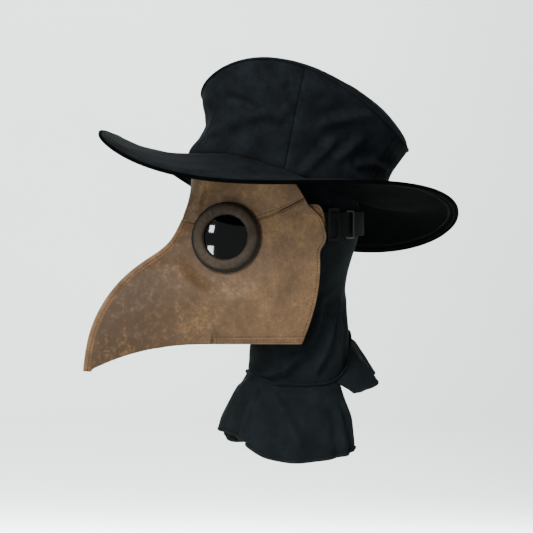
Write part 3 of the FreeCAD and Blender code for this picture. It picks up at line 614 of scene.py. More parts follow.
@dataclass(frozen=True)
class MaskForm:
    """Sizes of the mask's leather in mm, and where its surface lies."""

    half: float = 82.0
    jaw_half: float = 76.0
    bridge: tuple[float, float] = (-124.5, 21.7)
    reach: float = 114.6
    drop: float = 169.0
    rear: float = 12.0
    jaw: float = 117.0
    top: float = 72.0
    band_wide: float = 5.5
    band_thick: float = 5.2
    dart: float = -101.0
    seam_dip: float = 14.0
    goggle: tuple[float, float, float] = (33.0, -81.5, 1.5)
    yaw: float = math.radians(30)
    pitch: float = math.radians(9)
    seat: float = 46.0
    seat_blend: float = 26.0
    inner: Array = field(init=False, repr=False)

    def __post_init__(self) -> None:
        object.__setattr__(self, "inner", self.ridge(np.linspace(0, 1, 57), self.band_wide + 0.6))

    def ridge(self, share: Array, inset: float = 0.0) -> Array:
        """Points (y, z) of the ridge outline, moved an inset towards the inside of the beak."""
        shares = np.array(RIDGE)
        ahead, fall = shares[:, 0] * self.reach, shares[:, 1] * self.drop
        points = np.stack([self.bridge[0] - ahead, self.bridge[1] - fall], 1)
        knots = np.concatenate([[0], np.cumsum(np.linalg.norm(np.diff(points, axis=0), axis=1))])
        at = np.asarray(share) * knots[-1]
        way = spline(knots, points, at + 0.5) - spline(knots, points, at - 0.5)
        way /= np.linalg.norm(way, axis=1, keepdims=True)
        return spline(knots, points, at) + np.stack([-way[:, 1], way[:, 0]], 1) * inset

    def front_at(self, z: Array) -> Array:
        """How far forward the leather begins at a height."""
        top = self.inner[0]
        below = np.interp(z, self.inner[::-1, 1], self.inner[::-1, 0])
        return np.where(z >= top[1], top[0] + 5 * smooth((z - top[1]) / 50), below)

    def rear_at(self, z: Array) -> Array:
        """The rear edge at a height."""
        return self.rear - 16 * ((z + 33) / 79) ** 2

    def seam_at(self, y: Array) -> Array:
        """Height of the seam between forehead and side panels."""
        ahead = self.seam_dip + (self.bridge[1] - 0.5 - self.seam_dip) * np.clip((-100 - y) / 19, 0, 1) ** 2
        return np.where(y < -100, ahead, self.seam_dip + 32 * ((y + 100) / 96) ** 2)

    def lower_at(self, y: Array) -> Array:
        """Height of the side panels' lower edge."""
        tip = self.inner[-1, 0]
        fall = self.drop - self.bridge[1] - self.jaw
        return -self.jaw - fall * np.clip((self.dart - y) / (self.dart - tip), 0, None) ** 2.4

    def seated(self, x: Array, y: Array, z: Array) -> Array:
        """The leather's place once it is drawn flat against the back of the goggle."""
        gx, gy, gz = self.goggle
        front = self.front_at(z)
        share = np.clip((y - front) / (self.rear - front), 0, None)
        flat = gx + (y - gy) * math.tan(self.yaw) - (z - gz) * math.tan(self.pitch) / math.cos(self.yaw)
        away = np.hypot((y - gy) / math.cos(self.yaw), z - gz)
        pull = smooth((self.seat + self.seat_blend - away) / self.seat_blend) * smooth(share / 0.12)
        return x + (flat - x) * pull

    def leather(self, y: Array, z: Array) -> Array:
        """How far out the leather stands at a place in side view."""
        front = self.front_at(z)
        share = np.clip((y - front) / (self.rear - front), 0, None)
        half = self.half + (self.jaw_half - self.half) * smooth(-z / self.jaw)
        return self.seated(self.band_thick / 2 + half * (1.15 * share - 0.15 * share**2), y, z)

    def side(self, columns: int, rows: int) -> Array:
        """The left side panel's outer face, from ridge to rear edge and from seam to lower edge."""
        u, v = np.meshgrid(np.linspace(0, 1, columns), np.linspace(0, 1, rows))
        start, tip = self.inner[0], self.inner[-1]
        rear_top = float(self.rear_at(self.seam_at(np.array(-4.0))))
        rear_high = float(self.seam_at(np.array(-4.0)))
        rear_low = float(self.rear_at(-self.jaw))
        ridge = np.stack([np.interp(v, np.linspace(0, 1, 57), self.inner[:, k]) for k in (0, 1)], 2)
        rear_z = rear_high + (-self.jaw - rear_high) * v
        rear = np.stack([self.rear_at(rear_z), rear_z], 2)
        top_y, low_y = start[0] + (rear_top - start[0]) * u, tip[0] + (rear_low - tip[0]) * u
        top, low = np.stack([top_y, self.seam_at(top_y)], 2), np.stack([low_y, self.lower_at(low_y)], 2)
        u, v = u[..., None], v[..., None]
        corners = start * (1 - u) * (1 - v) + np.array([rear_top, rear_high]) * u * (1 - v)
        corners = corners + tip * (1 - u) * v + np.array([rear_low, -self.jaw]) * u * v
        at = top * (1 - v) + low * v + ridge * (1 - u) + rear * u - corners
        bulge = 10.0 * np.exp(-(((at[..., 1] - 12.5) / 20.5) ** 4)) * smooth((u[..., 0] - 0.8) / 0.2)
        at[..., 0] += bulge
        x = self.leather(at[..., 0] - bulge, at[..., 1]) + 0.3 * bulge
        return np.stack([x, at[..., 0], at[..., 1]], 2)

    def brow(self, columns: int, rows: int) -> Array:
        """The forehead panel's outer face, from temple to temple and from seam to upper edge."""
        turn, rise = np.meshgrid(np.linspace(-1, 1, columns), np.linspace(0, 1, rows))
        share = np.abs(turn) ** 1.4
        rear = float(self.rear_at(self.seam_at(np.array(-4.0))))
        low_y = self.inner[0, 0] + (rear - self.inner[0, 0]) * share
        seam = self.seam_at(low_y)
        low = np.stack([self.leather(low_y, seam), low_y, seam + 0.3], 2)
        bearing = math.radians(84) * np.abs(turn)
        top_x, top_y = 0.9 * self.half * np.sin(bearing), -8 - 104 * np.cos(bearing)
        top = np.stack([top_x, top_y, np.full_like(turn, self.top)], 2)
        at = low + (top - low) * rise[..., None]
        x = np.where(rise > 0, self.seated(at[..., 0], at[..., 1], at[..., 2]), at[..., 0])
        at[..., 0] = x * smooth(np.abs(turn) / 0.04) * np.sign(turn)
        flare = np.exp(-((rise / 0.3) ** 2)) * np.exp(-((turn / 0.13) ** 2))
        at[..., 1] -= 5.6 * flare
        at[..., 2] -= 1.4 * flare * (1 - rise)
        return at

    def goggle_frame(self, side: Side) -> tuple[Array, Array, Array, Array]:
        """The goggle's seat, its axis out of the mask, and two axes across it."""
        level = math.cos(self.pitch)
        ahead = -level * math.sin(self.yaw)
        out = np.array([level * math.cos(self.yaw) * side.value, ahead, math.sin(self.pitch)])
        seat = np.array([self.goggle[0] * side.value, *self.goggle[1:]]) + out * 0.8
        across = np.cross([0, 0, 1], out)
        across /= np.linalg.norm(across)
        return seat, out, across, np.cross(out, across)


class Mask:
    """The leather panels, their seams, binding and hems."""

    BODY, SLOT = "mask", "mask_leather"

    def __init__(self, form: MaskForm, wardrobe: Wardrobe, stitching: Stitching) -> None:
        self.form, self.wardrobe, self.stitching = form, wardrobe, stitching
        self.thread = Dress(wardrobe.brown_thread, self.BODY, self.SLOT)

    def dress(self, *nodes: str) -> Dress:
        """Leather that stands for these nodes."""
        return Dress(self.wardrobe.mask, self.BODY, self.SLOT, nodes)

    def hole(self, grid: Array, side: Side) -> Array:
        """Cells of a grid that lie in an eye hole."""
        seat, out, *_ = self.form.goggle_frame(side)
        middle = (grid[:-1, :-1] + grid[1:, 1:]) / 2 - seat
        along = middle @ out
        return (np.linalg.norm(middle - along[..., None] * out, axis=2) < 27) & (np.abs(along) < 20)

    def build(self) -> None:
        """Builds every piece of the mask's leather."""
        for side in Side:
            self.build_side(side)
            self.build_tab(side)
        self.build_brow()
        self.build_binding()
        self.build_under()

    def build_side(self, side: Side) -> None:
        """One side panel with its rolled seams, worn creases, jaw hem and stitch lines."""
        form = self.form
        grid = form.side(210, 130)
        y, z = grid[..., 1], grid[..., 2]
        columns = y.shape[1]
        from_ridge = np.linalg.norm(grid - grid[:, :1], axis=2)
        from_seam = np.linalg.norm(grid - grid[:1], axis=2)
        from_low = np.linalg.norm(grid - grid[-1:], axis=2)
        place = np.stack([y, z], 2)
        relief = groove(from_ridge, 1.6, 1.2) + groove(from_seam, 1.6, 1.1)
        relief += fold(place, ((-6, 44), (-12, 30), (-15, 12), (-13, -6)), 5, 0.7)
        relief += fold(place, ((-118, -8), (-140, -24), (-168, -40), (-196, -62)), 9, 0.55)
        relief += fold(place, ((-98, -62), (-60, -78), (-22, -74), (4, -60)), 16, 0.6)
        relief += fold(place, ((-104, -92), (-101, -104), (-100.5, -116)), 3.5, 0.9, 0.3)
        relief += 0.35 * ripple(place, 46, 5) + 0.12 * ripple(place, 15, 6)
        behind = smooth((y - form.dart) / 3)
        relief -= 1.1 * np.exp(-(((from_low - 7.6) / 0.8) ** 2)) * behind
        relief += 0.7 * smooth((8 - from_low) / 2) * behind
        relief -= 2.4 * np.exp(-(((y - form.dart) / 1.5) ** 2)) * smooth((16 - from_low) / 12)
        for row in (3.0, 6.4):
            ahead = smooth((y - form.dart + 26) / 10) * (1 - behind)
            relief -= 0.45 * np.exp(-(((from_low - row - 2) / 0.8) ** 2)) * ahead
        grid = raised(grid, relief, (-40, -60, -40))
        out = normals(grid, (-40, -60, -40))
        if side is Side.RIGHT:
            grid, out = grid * (-1, 1, 1), out * (-1, 1, 1)
        centre = (-40 * side.value, -60, -40)
        node = f"beak_side_{side.tag}"
        dress = self.dress(node, f"jaw_hem_{side.tag}")
        panel(f"leather_{node}", grid, dress, 3.6, centre, drop=self.hole(grid, side))
        runs = []
        for inset in (2.6, 5.2):
            row = int(np.argmin(np.abs(from_low[:, -40] - inset)))
            behind_dart = np.where(y[row] > form.dart + 2)[0]
            runs.append((grid[row, behind_dart], out[row, behind_dart]))
        seam_row = int(np.argmin(np.abs(from_seam[:, -60] - 3.0)))
        runs.append((grid[seam_row, 14:], out[seam_row, 14:]))
        edge = columns - 1 - int(np.sum(columns * 4.0 / 250))
        runs.append((grid[6:-8, edge], out[6:-8, edge]))
        self.stitching.sew(f"stitches_side_{side.tag}", runs, self.thread)
        self.build_hem(side)

    def build_hem(self, side: Side) -> None:
        """The turned-in hem along the inside of the jaw."""
        form = self.form
        y = np.linspace(form.dart + 3, float(form.rear_at(-form.jaw)) - 1, 60)
        low = np.full_like(y, -form.jaw + 3.6)
        x = (form.leather(y, low) - 5.2) * side.value
        path = np.stack([x, y, low], 1)
        dress = Dress(self.wardrobe.mask, self.BODY, self.SLOT)
        out = np.tile([side.value, 0.0, 0.0], (60, 1))
        swept(f"hem_jaw_{side.tag}", path, out, rounded_box(1.6, 7, 0.7), dress)

    def build_brow(self) -> None:
        """The forehead panel, with its lower edge turned under along the seam."""
        grid = self.form.brow(241, 60)
        from_seam = np.linalg.norm(grid - grid[:1], axis=2)
        place = np.stack([grid[..., 1] * 1.2 + grid[..., 0], grid[..., 2]], 2)
        relief = groove(from_seam, 1.5, 1.1) + 0.3 * ripple(place, 38, 11)
        grid = raised(grid, relief, (0, 0, 40))
        out = normals(grid, (0, 0, 40))
        drop = self.hole(grid, Side.LEFT) | self.hole(grid, Side.RIGHT)
        panel("leather_forehead", grid, self.dress("forehead_panel"), 3.4, (0, 0, 40), drop=drop)
        row = int(np.argmin(np.abs(from_seam[:, 30] - 3.0)))
        self.stitching.sew("stitches_forehead", [(grid[row, 4:-4], out[row, 4:-4])], self.thread)

    def build_binding(self) -> None:
        """The raised binding down the beak's ridge, sewn through on both sides."""
        form = self.form
        share = np.linspace(0, 1, 150)
        depth = form.band_wide + 2.8
        outline, inside = form.ridge(share), form.ridge(share, depth / 2)
        path = np.column_stack([np.zeros(150), inside])
        out = np.column_stack([np.zeros(150), outline - inside])
        section = rounded_box(depth, form.band_thick + 0.3, 1.5)
        dress = Dress(self.wardrobe.binding, self.BODY, self.SLOT, ("ridge_binding",))
        swept("binding_ridge", path, out, section, dress)
        runs = []
        for side in Side:
            lifted = path + np.array([side.value * (form.band_thick / 2 + 0.15), 0, 0])
            runs.append((lifted, np.tile([side.value, 0.0, 0.0], (150, 1))))
        self.stitching.sew("stitches_ridge", runs, self.thread)

    def build_under(self) -> None:
        """The panel under the beak, hanging in slightly between its seams."""
        form = self.form
        y = np.linspace(form.inner[-1, 0] + 9, form.dart + 1, 90)
        half = np.maximum(form.leather(y, form.lower_at(y) + 3) - 4.4, 0.8)
        share = np.linspace(-1, 1, 21)
        grid = np.empty((90, 21, 3))
        grid[..., 0] = half[:, None] * share
        grid[..., 1] = y[:, None]
        grid[..., 2] = (form.lower_at(y) + 1.5)[:, None] + 1.2 * (1 - share**2) * smooth(half / 20)[:, None]
        panel("leather_under_beak", grid, self.dress("beak_under_panel"), 2.4, (0, -150, 0))

    def build_tab(self, side: Side) -> None:
        """The rounded tab behind the rear edge that the strap is sewn to."""
        origin, slope = np.array([76.23 * side.value, 8.6, 16.0]), math.radians(28.3)
        way = np.array([math.sin(slope) * side.value, math.cos(slope), 0.0])
        out = np.array([math.cos(slope) * side.value, -math.sin(slope), 0.0])
        u, v = np.meshgrid(np.linspace(-1, 1, 41), np.linspace(-1, 1, 61))
        narrow = np.sqrt(np.clip(1 - np.clip(u, 0, 1) ** 2.4, 0.02, 1))
        grid = origin + way * (u * 11)[..., None] + np.array([0, 0, 23.0]) * (v * narrow)[..., None]
        grid = grid - out * (0.5 * v**2)[..., None]
        dress = self.dress(f"strap_tab_{side.tag}")
        panel(f"leather_tab_{side.tag}", grid, dress, 2.6, tuple(origin - out * 30))
        edge = [(-0.6, -0.9), (0.1, -0.88), (0.55, -0.72), (0.8, 0), (0.55, 0.72), (0.1, 0.88), (-0.6, 0.9)]
        edge = np.array(edge)
        path = origin + out * 0.2 + way * (edge[:, :1] * 11) + np.array([0, 0, 23.0]) * edge[:, 1:]
        self.stitching.sew(f"stitches_tab_{side.tag}", [(path, np.tile(out, (7, 1)))], self.thread)


@dataclass(frozen=True)
class Goggles:
    """Padded leather rings round black lenses; radii and heights in mm."""

    form: MaskForm
    flange: float = 40.0
    face: float = 37.2
    bezel: float = 25.4
    lens: float = 27.0
    dome: float = 2.4
    low: float = 3.2
    high: float = 8.4

    def turned(self, side: Side, profile: Line, pucker: float) -> Array:
        """A profile of (radius, height) turned round the goggle's axis, with radial puckers, deep in mm."""
        seat, out, across, up = self.form.goggle_frame(side)
        turn = np.linspace(0, 2 * math.pi, 193)[:-1]
        radius, height = np.array(profile, float).T
        wave = 0.5 + 0.3 * np.sin(turn * 23) + 0.2 * np.sin(turn * 37 + 1)
        lift = pucker * wave * np.sin(np.linspace(0, math.pi, len(radius)))[:, None]
        way = across * np.cos(turn)[:, None] + up * np.sin(turn)[:, None]
        return seat + way[None] * radius[:, None, None] + out * (height[:, None] - lift)[..., None]

    def build(self, wardrobe: Wardrobe, stitching: Stitching) -> None:
        """Builds both goggles and gives the hard parts of the CAD model their finishes."""
        pad = [(self.face, self.low)]
        for angle in np.radians(np.linspace(0, 180, 25)):
            middle, half = (self.face + self.bezel) / 2, (self.face - self.bezel) / 2
            flat = abs(math.cos(angle)) ** 0.7 * math.copysign(1, math.cos(angle))
            pad.append((middle + half * flat, self.low + (self.high - self.low) * math.sin(angle) ** 0.4))
        pad.append((self.bezel, self.low - 1.5))
        rim = [(self.bezel + 1, 0.1), (self.flange - 0.5, 0.1), (self.flange, 0.6)]
        rim += [(self.flange, self.low - 0.6), (self.flange - 0.5, self.low)]
        rim += [(self.face - 3, self.low), (self.bezel + 1, self.low)]
        for side in Side:
            seat, out, across, up = self.form.goggle_frame(side)
            for name, node, profile, pucker in (
                ("leather_flange", "goggle_flange", rim, 0.0),
                ("leather_ring", "goggle_face_ring", pad, 0.3),
            ):
                finish = wardrobe.cut_edge if profile is rim else wardrobe.ring
                dress = Dress(finish, "mask", "goggle_leather", (f"{node}_{side.tag}",))
                grid = self.turned(side, profile, pucker)
                panel(f"{name}_{side.tag}", grid, dress, 0, tuple(seat), loop=True)
            turn = np.linspace(0, 2 * math.pi, 120)
            runs = []
            for radius, height in ((self.face - 1.6, self.high - 1.75), (self.bezel + 1.9, self.high - 1.6)):
                way = across * np.cos(turn)[:, None] + up * np.sin(turn)[:, None]
                runs.append((seat + way * radius + out * height, np.tile(out, (120, 1))))
            thread = Dress(wardrobe.brown_thread, "mask", "goggle_leather")
            stitching.sew(f"stitches_goggle_{side.tag}", runs, thread)
            radius = np.concatenate([np.linspace(0.05, self.lens, 24), [self.lens, 0.05]])
            height = np.concatenate([self.low + self.dome * (1 - np.linspace(0, 1, 24) ** 2), [0.6, 0.6]])
            dress = Dress(wardrobe.lens, "mask", "lens_black", (f"lens_{side.tag}",))
            lens = list(zip(radius, height))
            panel(f"acrylic_lens_{side.tag}", self.turned(side, lens, 0.0), dress, 0, tuple(seat), loop=True)
            for node, finish in (("lens_gasket", wardrobe.rubber), ("goggle_washer", wardrobe.plastic)):
                paint(f"{node}_{side.tag}", finish)


def paint(node: str, finish: bpy.types.Material) -> None:
    """Gives a CAD node its finish; its mesh stays as it is."""
    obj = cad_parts[node]
    obj.data.materials.clear()
    obj.data.materials.append(finish)


@dataclass(frozen=True)
class Straps:
    """The elastic that runs round the back of the head; mm, left side mirrored for the right."""

    start: tuple[float, float] = (74.52, 17.02)
    meet: tuple[float, float] = (64.74, 43.71)
    ring: tuple[float, float] = (59.31, 55.17)
    band_radius: float = 68.95
    band_middle: float = 20.0
    low: float = 2.0
    high: float = 30.0

    def build(self, wardrobe: Wardrobe) -> None:
        """Builds the straps and rear band and finishes sliders and rings."""
        middle = (self.low + self.high) / 2
        section = rounded_box(1.5, self.high - self.low, 0.6, 3)
        ring = np.array(self.ring)
        bearing = math.atan2(ring[1] - self.band_middle, ring[0])
        way = np.array([-math.sin(bearing), math.cos(bearing)])
        out = np.array([way[1], -way[0]])
        for side in Side:
            bar = ring - way * 6.2
            line = [np.array(self.start), np.array(self.meet)]
            line += [bar - out * 1.4, bar + way * 1.9, bar + out * 2.1]
            line += [np.array(self.meet) + out * 2.0, np.array(self.meet) + out * 2.0 - way * 8]
            line = np.array(line)
            knots = np.concatenate([[0], np.cumsum(np.linalg.norm(np.diff(line, axis=0), axis=1))])
            flat = spline(knots, line, np.linspace(0, knots[-1], 60))
            path = np.column_stack([flat[:, 0] * side.value, flat[:, 1], np.full(60, middle)])
            ahead = np.gradient(path, axis=0)
            across = np.cross(ahead, [0, 0, 1.0])
            dress = Dress(wardrobe.elastic, "mask", "elastic_webbing", (f"elastic_strap_{side.tag}",))
            swept(f"webbing_strap_{side.tag}", path, across, section, dress)
            paint(f"strap_slider_{side.tag}", wardrobe.plastic)
            paint(f"wire_ring_{side.tag}", wardrobe.steel)
        start = bearing + 5.6 / self.band_radius
        turn = np.linspace(start, math.pi - start, 120)
        round_head = np.column_stack([np.cos(turn), np.sin(turn), np.zeros(120)])
        path = round_head * self.band_radius + np.array([0, self.band_middle, middle])
        dress = Dress(wardrobe.elastic, "hood", "elastic_webbing", ("rear_band",))
        swept("webbing_rear_band", path, round_head, section, dress)


# ---------------------------------------------------------------- hood and capelet


@dataclass(frozen=True)
class HoodForm:
    """Sizes of the jersey hood in mm, and where its surface lies."""

    half: float = 66.0
    back: float = 86.0
    front: float = 80.0
    top: float = 114.0
    middle: float = 20.0
    face: tuple[float, float] = (61.0, 80.0)
    face_low: float = -10.0
    rows: tuple[tuple[float, float, float, float], ...] = field(init=False, repr=False)

    def __post_init__(self) -> None:
        rows = []
        for lift in (89.5, 82, 74, 65, 55, 44, 32, 20, 9):
            c, s = math.cos(math.radians(lift)) ** 0.9, math.sin(math.radians(lift))
            back = self.middle + (self.back - self.middle) * c
            rows.append((6 + (self.top - 6) * s, self.half * c, back, (self.front + 20) * c - 20))
        jaw = ((0, 1, 0.96, 1), (-0.2, 0.96, 0.87, 0.96), (-0.42, 0.87, 0.8, 0.86), (-0.66, 0.81, 0.785, 0.74))
        for z, half, back, front in jaw:
            rows.append((z * self.top, half * self.half, back * self.back, front * self.front))
        rows += [(-100, 54, 70, 44), (-130, 56, 70, 44), (-152, 56, 70, 44), (-176, 56, 70, 44)]
        object.__setattr__(self, "rows", tuple(rows))

    def surface(self, columns: int, levels: int) -> tuple[Array, Array]:
        """The hood as a grid of points from crown to neck, and the turn at each column, rear at 90."""
        rows = np.array(self.rows)
        knots = np.concatenate([[0], np.cumsum(np.hypot(np.diff(rows[:, 0]), np.diff(rows[:, 1])) + 1)])
        level = spline(knots, rows, np.linspace(0, knots[-1], levels))
        turn = np.linspace(-math.pi, math.pi, columns, endpoint=False)
        c, s = np.cos(turn), np.sin(turn)
        power = np.where(s > 0, 1.0, 1.11)
        x = level[:, 1:2] * np.sign(c) * np.abs(c) ** power
        reach = np.where(s > 0, level[:, 2:3] - self.middle, level[:, 3:4] + self.middle)
        y = self.middle + np.sign(s) * np.abs(s) ** power * reach
        return np.stack([x, y, np.broadcast_to(level[:, :1], x.shape)], 2), turn


class Hood:
    """The jersey hood with its face opening and soft folds."""

    BODY, SLOT = "hood", "hood_jersey"
    CENTRE = (0, 20, -20)

    def __init__(self, form: HoodForm, wardrobe: Wardrobe, stitching: Stitching) -> None:
        self.form, self.wardrobe, self.stitching = form, wardrobe, stitching

    def relief(self, grid: Array, turn: Array) -> Array:
        """Folds that hang round the neck and small unevenness of a stretched knit."""
        z = grid[..., 2]
        place = np.stack([np.broadcast_to(np.degrees(turn), z.shape), z], 2)
        drape = ((40, -52), (4, -69), (-1, -94), (-16, -126), (-37, -149), (-60, -156), (-121, -146))
        upright = ((40, -66), (37, -90), (35, -112), (33, -150))
        relief = fold(place, drape, 5.5, 5.5, 0.3) + fold(place, upright, 6, 3.6)
        relief += fold(place, ((70, -60), (62, -100), (58, -150)), 9, 1.8)
        relief += fold(place, ((150, -52), (176, -84), (205, -130)), 8, 2.2)
        relief += fold(place, ((-170, -70), (-150, -120)), 8, 2.0)
        relief += fold(place, ((120, -60), (112, -110), (116, -150)), 8, 1.8)
        relief += fold(place, ((26, -84), (14, -122), (-8, -158)), 4.5, 3.4)
        loose = 0.35 + 0.65 * smooth((-40 - z) / 40)
        relief += loose * 0.5 * ripple(grid, 42, 21)
        seam = np.minimum(np.abs(np.degrees(turn) - 90), 200) * 1.2
        relief += groove(np.broadcast_to(seam, z.shape), 1.6, 1.0)
        return np.where(z > 104, 0.0, relief) * smooth((z + 172) / 10)

    def build(self) -> None:
        """Builds the hood in one sheet, open at the face and above the capelet's seam."""
        form = self.form
        grid, turn = form.surface(300, 240)
        grid = raised(grid, self.relief(grid, turn), self.CENTRE)
        centre = (grid + np.roll(grid, -1, axis=1))[:-1] / 2
        across, rise = centre[..., 0], centre[..., 2] - form.face_low
        oval = np.hypot(across / (form.face[0] + 3), rise / (form.face[1] + 3))
        drop = (oval < 1) & (centre[..., 1] < 8)
        drop |= centre[..., 2] < CapeForm().seam_height(centre[..., 1]) - 2
        dress = Dress(self.wardrobe.jersey, self.BODY, self.SLOT, ("hood_left", "hood_right"))
        panel("jersey_hood", grid, dress, 1.2, self.CENTRE, loop=True, drop=drop)
        self.build_band()

    def build_band(self) -> None:
        """The doubled band sewn round the face opening."""
        form = self.form
        turn = np.linspace(0, 2 * math.pi, 220, endpoint=False)
        x = (form.face[0] + 3.6) * np.cos(turn)
        z = form.face_low + (form.face[1] + 3.6) * np.sin(turn)
        rows = np.array(form.rows)[::-1]
        half, front = np.interp(z, rows[:, 0], rows[:, 1]), np.interp(z, rows[:, 0], rows[:, 3])
        share = np.clip(np.abs(x) / half, 0, 0.97)
        y = form.middle - (front + form.middle) * np.sqrt(1 - share ** (2 / 1.11)) ** 1.11
        path = np.stack([x, np.minimum(y, 6), z], 1)
        out = path - np.array([0, 22, -10])
        dress = Dress(self.wardrobe.jersey, self.BODY, self.SLOT, ("face_opening_band",))
        swept("jersey_face_band", path, out, rounded_box(2.6, 7, 1.1), dress, closed=True)
        out = out / np.linalg.norm(out, axis=1, keepdims=True)
        thread = Dress(self.wardrobe.black_thread, self.BODY, self.SLOT)
        self.stitching.sew("stitches_face_band", [(path + out * 1.4, out)], thread)


@dataclass(frozen=True)
class CapeForm:
    """Sizes of the capelet in mm."""

    neck: float = 56.0
    neck_back: float = 72.0
    neck_front: float = 44.0
    seam_drop: float = 166.0
    hem_drop: float = 246.0
    hem_radius: float = 91.0

    def seam_height(self, y: Array) -> Array:
        """Height of the seam to the hood: level on the shoulders, rising behind and at the throat."""
        y = np.clip(y, -self.neck_front, self.neck_back)
        back = 67 * np.clip((y + 20) / (self.neck_back + 23), 0, None) ** 6
        return -self.seam_drop + back + 12 * np.clip((-20 - y) / 24, 0, None) ** 2

    def neck_ring(self, turn: Array) -> Array:
        """Points of the seam."""
        middle, reach = (self.neck_back - self.neck_front) / 2, (self.neck_back + self.neck_front) / 2
        y = middle + reach * np.sin(turn)
        return np.stack([self.neck * np.cos(turn), y, self.seam_height(y)], -1)

    def hem_ring(self, turn: Array) -> Array:
        """Points of the hem, rising behind and a little in front."""
        s = np.sin(turn)
        lift = 74 * np.clip(s, 0, None) ** 2.5 + 23 * np.clip(-s, 0, None) ** 3
        x, y = self.hem_radius * np.cos(turn), 12.5 + (self.hem_radius - 0.5) * s
        return np.stack([x, y, -self.hem_drop + lift], -1)


@dataclass(frozen=True)
class Gore:
    """One gore of the capelet: where it runs, how far it stands out and which folds it has.

    The hem is its height in mm at even steps from start to end. Folds are runs of
    (degrees, share of the fall from seam to hem).
    """

    name: str
    start: float
    end: float
    lift: float
    swell: float
    hem: tuple[float, ...]
    folds: tuple[tuple[Line, float, float], ...]


GORES = (
    Gore("left", -58, 31, 2.6, 8.0, (-230, -242, -246, -245, -241, -235), (
        (((-44, 0.05), (-26, 0.4), (-14, 0.85)), 5.0, 3.0),
        (((18, 0.3), (16, 0.7), (17, 1.1)), 4.0, 2.4),
        (((26, 0.2), (25, 0.6), (26, 1.1)), 2.6, 1.8),
        (((2, 0.5), (5, 0.8), (4, 1.1)), 7.0, 1.8),
    )),
    Gore("back", 28, 152, 0.4, 1.0, (-172, -170, -165, -160, -165, -170, -172), (
        (((62, 0.1), (66, 0.6), (64, 1.1)), 6.0, 2.8),
        (((94, 0.1), (90, 0.6), (92, 1.1)), 6.0, 2.4),
        (((118, 0.1), (122, 0.6), (119, 1.1)), 6.0, 2.8),
    )),
    Gore("right", 149, 238, 2.6, 8.0, (-235, -241, -245, -246, -242, -230), (
        (((224, 0.05), (206, 0.4), (194, 0.85)), 5.0, 3.0),
        (((152, 0.15), (151, 0.6), (148, 1.1)), 5.0, 2.6),
        (((178, 0.3), (175, 0.7), (176, 1.1)), 7.0, 2.0),
    )),
    Gore("front", 226, 314, 0.4, 3.0, (-229, -224, -219, -219, -224, -229), (
        (((246, 0.1), (250, 0.6), (249, 1.1)), 6.0, 2.6),
        (((276, 0.1), (272, 0.6), (273, 1.1)), 6.0, 2.4),
        (((298, 0.1), (296, 0.6), (299, 1.1)), 5.0, 2.6),
    )),
)


class Capelet:
    """Four gores of jersey with an overlocked, wavy hem."""

    BODY, SLOT = "hood", "hood_jersey"
    CENTRE = (0, 12, -200)

    def __init__(self, form: CapeForm, wardrobe: Wardrobe) -> None:
        self.form, self.wardrobe = form, wardrobe

    def gore_grid(self, gore: Gore, columns: int = 120, rows: int = 90) -> Array:
        """A gore's outer face, from seam to hem."""
        bearings = np.radians(np.linspace(gore.start, gore.end, columns))
        turn, share = np.meshgrid(bearings, np.linspace(0, 1, rows))
        top, hem = self.form.neck_ring(turn), self.form.hem_ring(turn)
        steps = np.linspace(0, 1, len(gore.hem))
        hem[..., 2] = spline(steps, gore.hem, np.linspace(0, 1, columns))
        grid = top + (hem - top) * share[..., None]
        around = (np.degrees(turn) - gore.start) / (gore.end - gore.start)
        belly = np.clip(np.sin(math.pi * around), 0, 1) ** 0.6
        out = gore.swell * np.sin(math.pi * share) + gore.lift * smooth(share / 0.12)
        out += share * (1.6 * np.sin(turn * 11 + gore.start) + 0.8 * np.sin(turn * 19 + 2))
        out -= 5 * (1 - belly) * smooth(share / 0.3)
        place = np.stack([np.degrees(turn) * 1.25, share * 80], 2)
        for line, wide, deep in gore.folds:
            out += fold(place, [(a * 1.25, b * 80) for a, b in line], wide, 1.5 * deep)
        out += 0.5 * ripple(place, 30, int(gore.start) % 97) + 1.6 * np.exp(-share * 80 / 2.5)
        way = np.stack([np.cos(turn), np.sin(turn), np.zeros_like(turn)], 2)
        return grid + way * out[..., None]

    def build(self) -> None:
        """Builds the gores, each a sheet of its own cut, and the overlocked edge."""
        turn = np.linspace(0, 2 * math.pi, 240, endpoint=False)
        way = np.stack([np.cos(turn), np.sin(turn), np.zeros_like(turn)], 1)
        seam = self.form.neck_ring(turn) + way * 2.4 + np.array([0, 0, 1.2])
        dress = Dress(self.wardrobe.jersey, self.BODY, self.SLOT)
        swept("seam_capelet", seam, way, round_section(1.4), dress, closed=True)
        for gore in GORES:
            grid = self.gore_grid(gore)
            node = f"capelet_{gore.name}"
            dress = Dress(self.wardrobe.jersey, self.BODY, self.SLOT, (node,))
            piece = panel(f"jersey_{node}", grid, dress, 1.1, self.CENTRE)
            edge = self.overlock(gore, grid[-1])

    def overlock(self, gore: Gore, hem: Array) -> bpy.types.Object:
        """The thick, wavy overlocked edge along a hem."""
        count = len(hem) * 4
        at = np.linspace(0, len(hem) - 1, count)
        path = np.stack([np.interp(at, np.arange(len(hem)), hem[:, k]) for k in range(3)], 1)
        reach = np.arange(count)
        path[:, 2] += 0.35 * np.sin(reach * 1.7) - 0.3
        out = path - np.array(self.CENTRE)
        out[:, 2] = 0
        nodes = ("capelet_hem",) if gore.name == "left" else ()
        dress = Dress(self.wardrobe.black_thread, self.BODY, "hem_thread", nodes)
        return swept(f"overlock_{gore.name}", path, out, rounded_box(2.4, 3.6, 1.0), dress)


# ---------------------------------------------------------------- hat


def waves(turn: Array, mean: float, *parts: float) -> Array:
    """A height round a ring, from the sizes of its cosine and sine waves, once round, twice and so on."""
    total = np.full_like(turn, mean)
    for i, size in enumerate(parts):
        order = i // 2 + 1
        total = total + size * (np.cos(order * turn) if i % 2 == 0 else np.sin(order * turn))
    return total


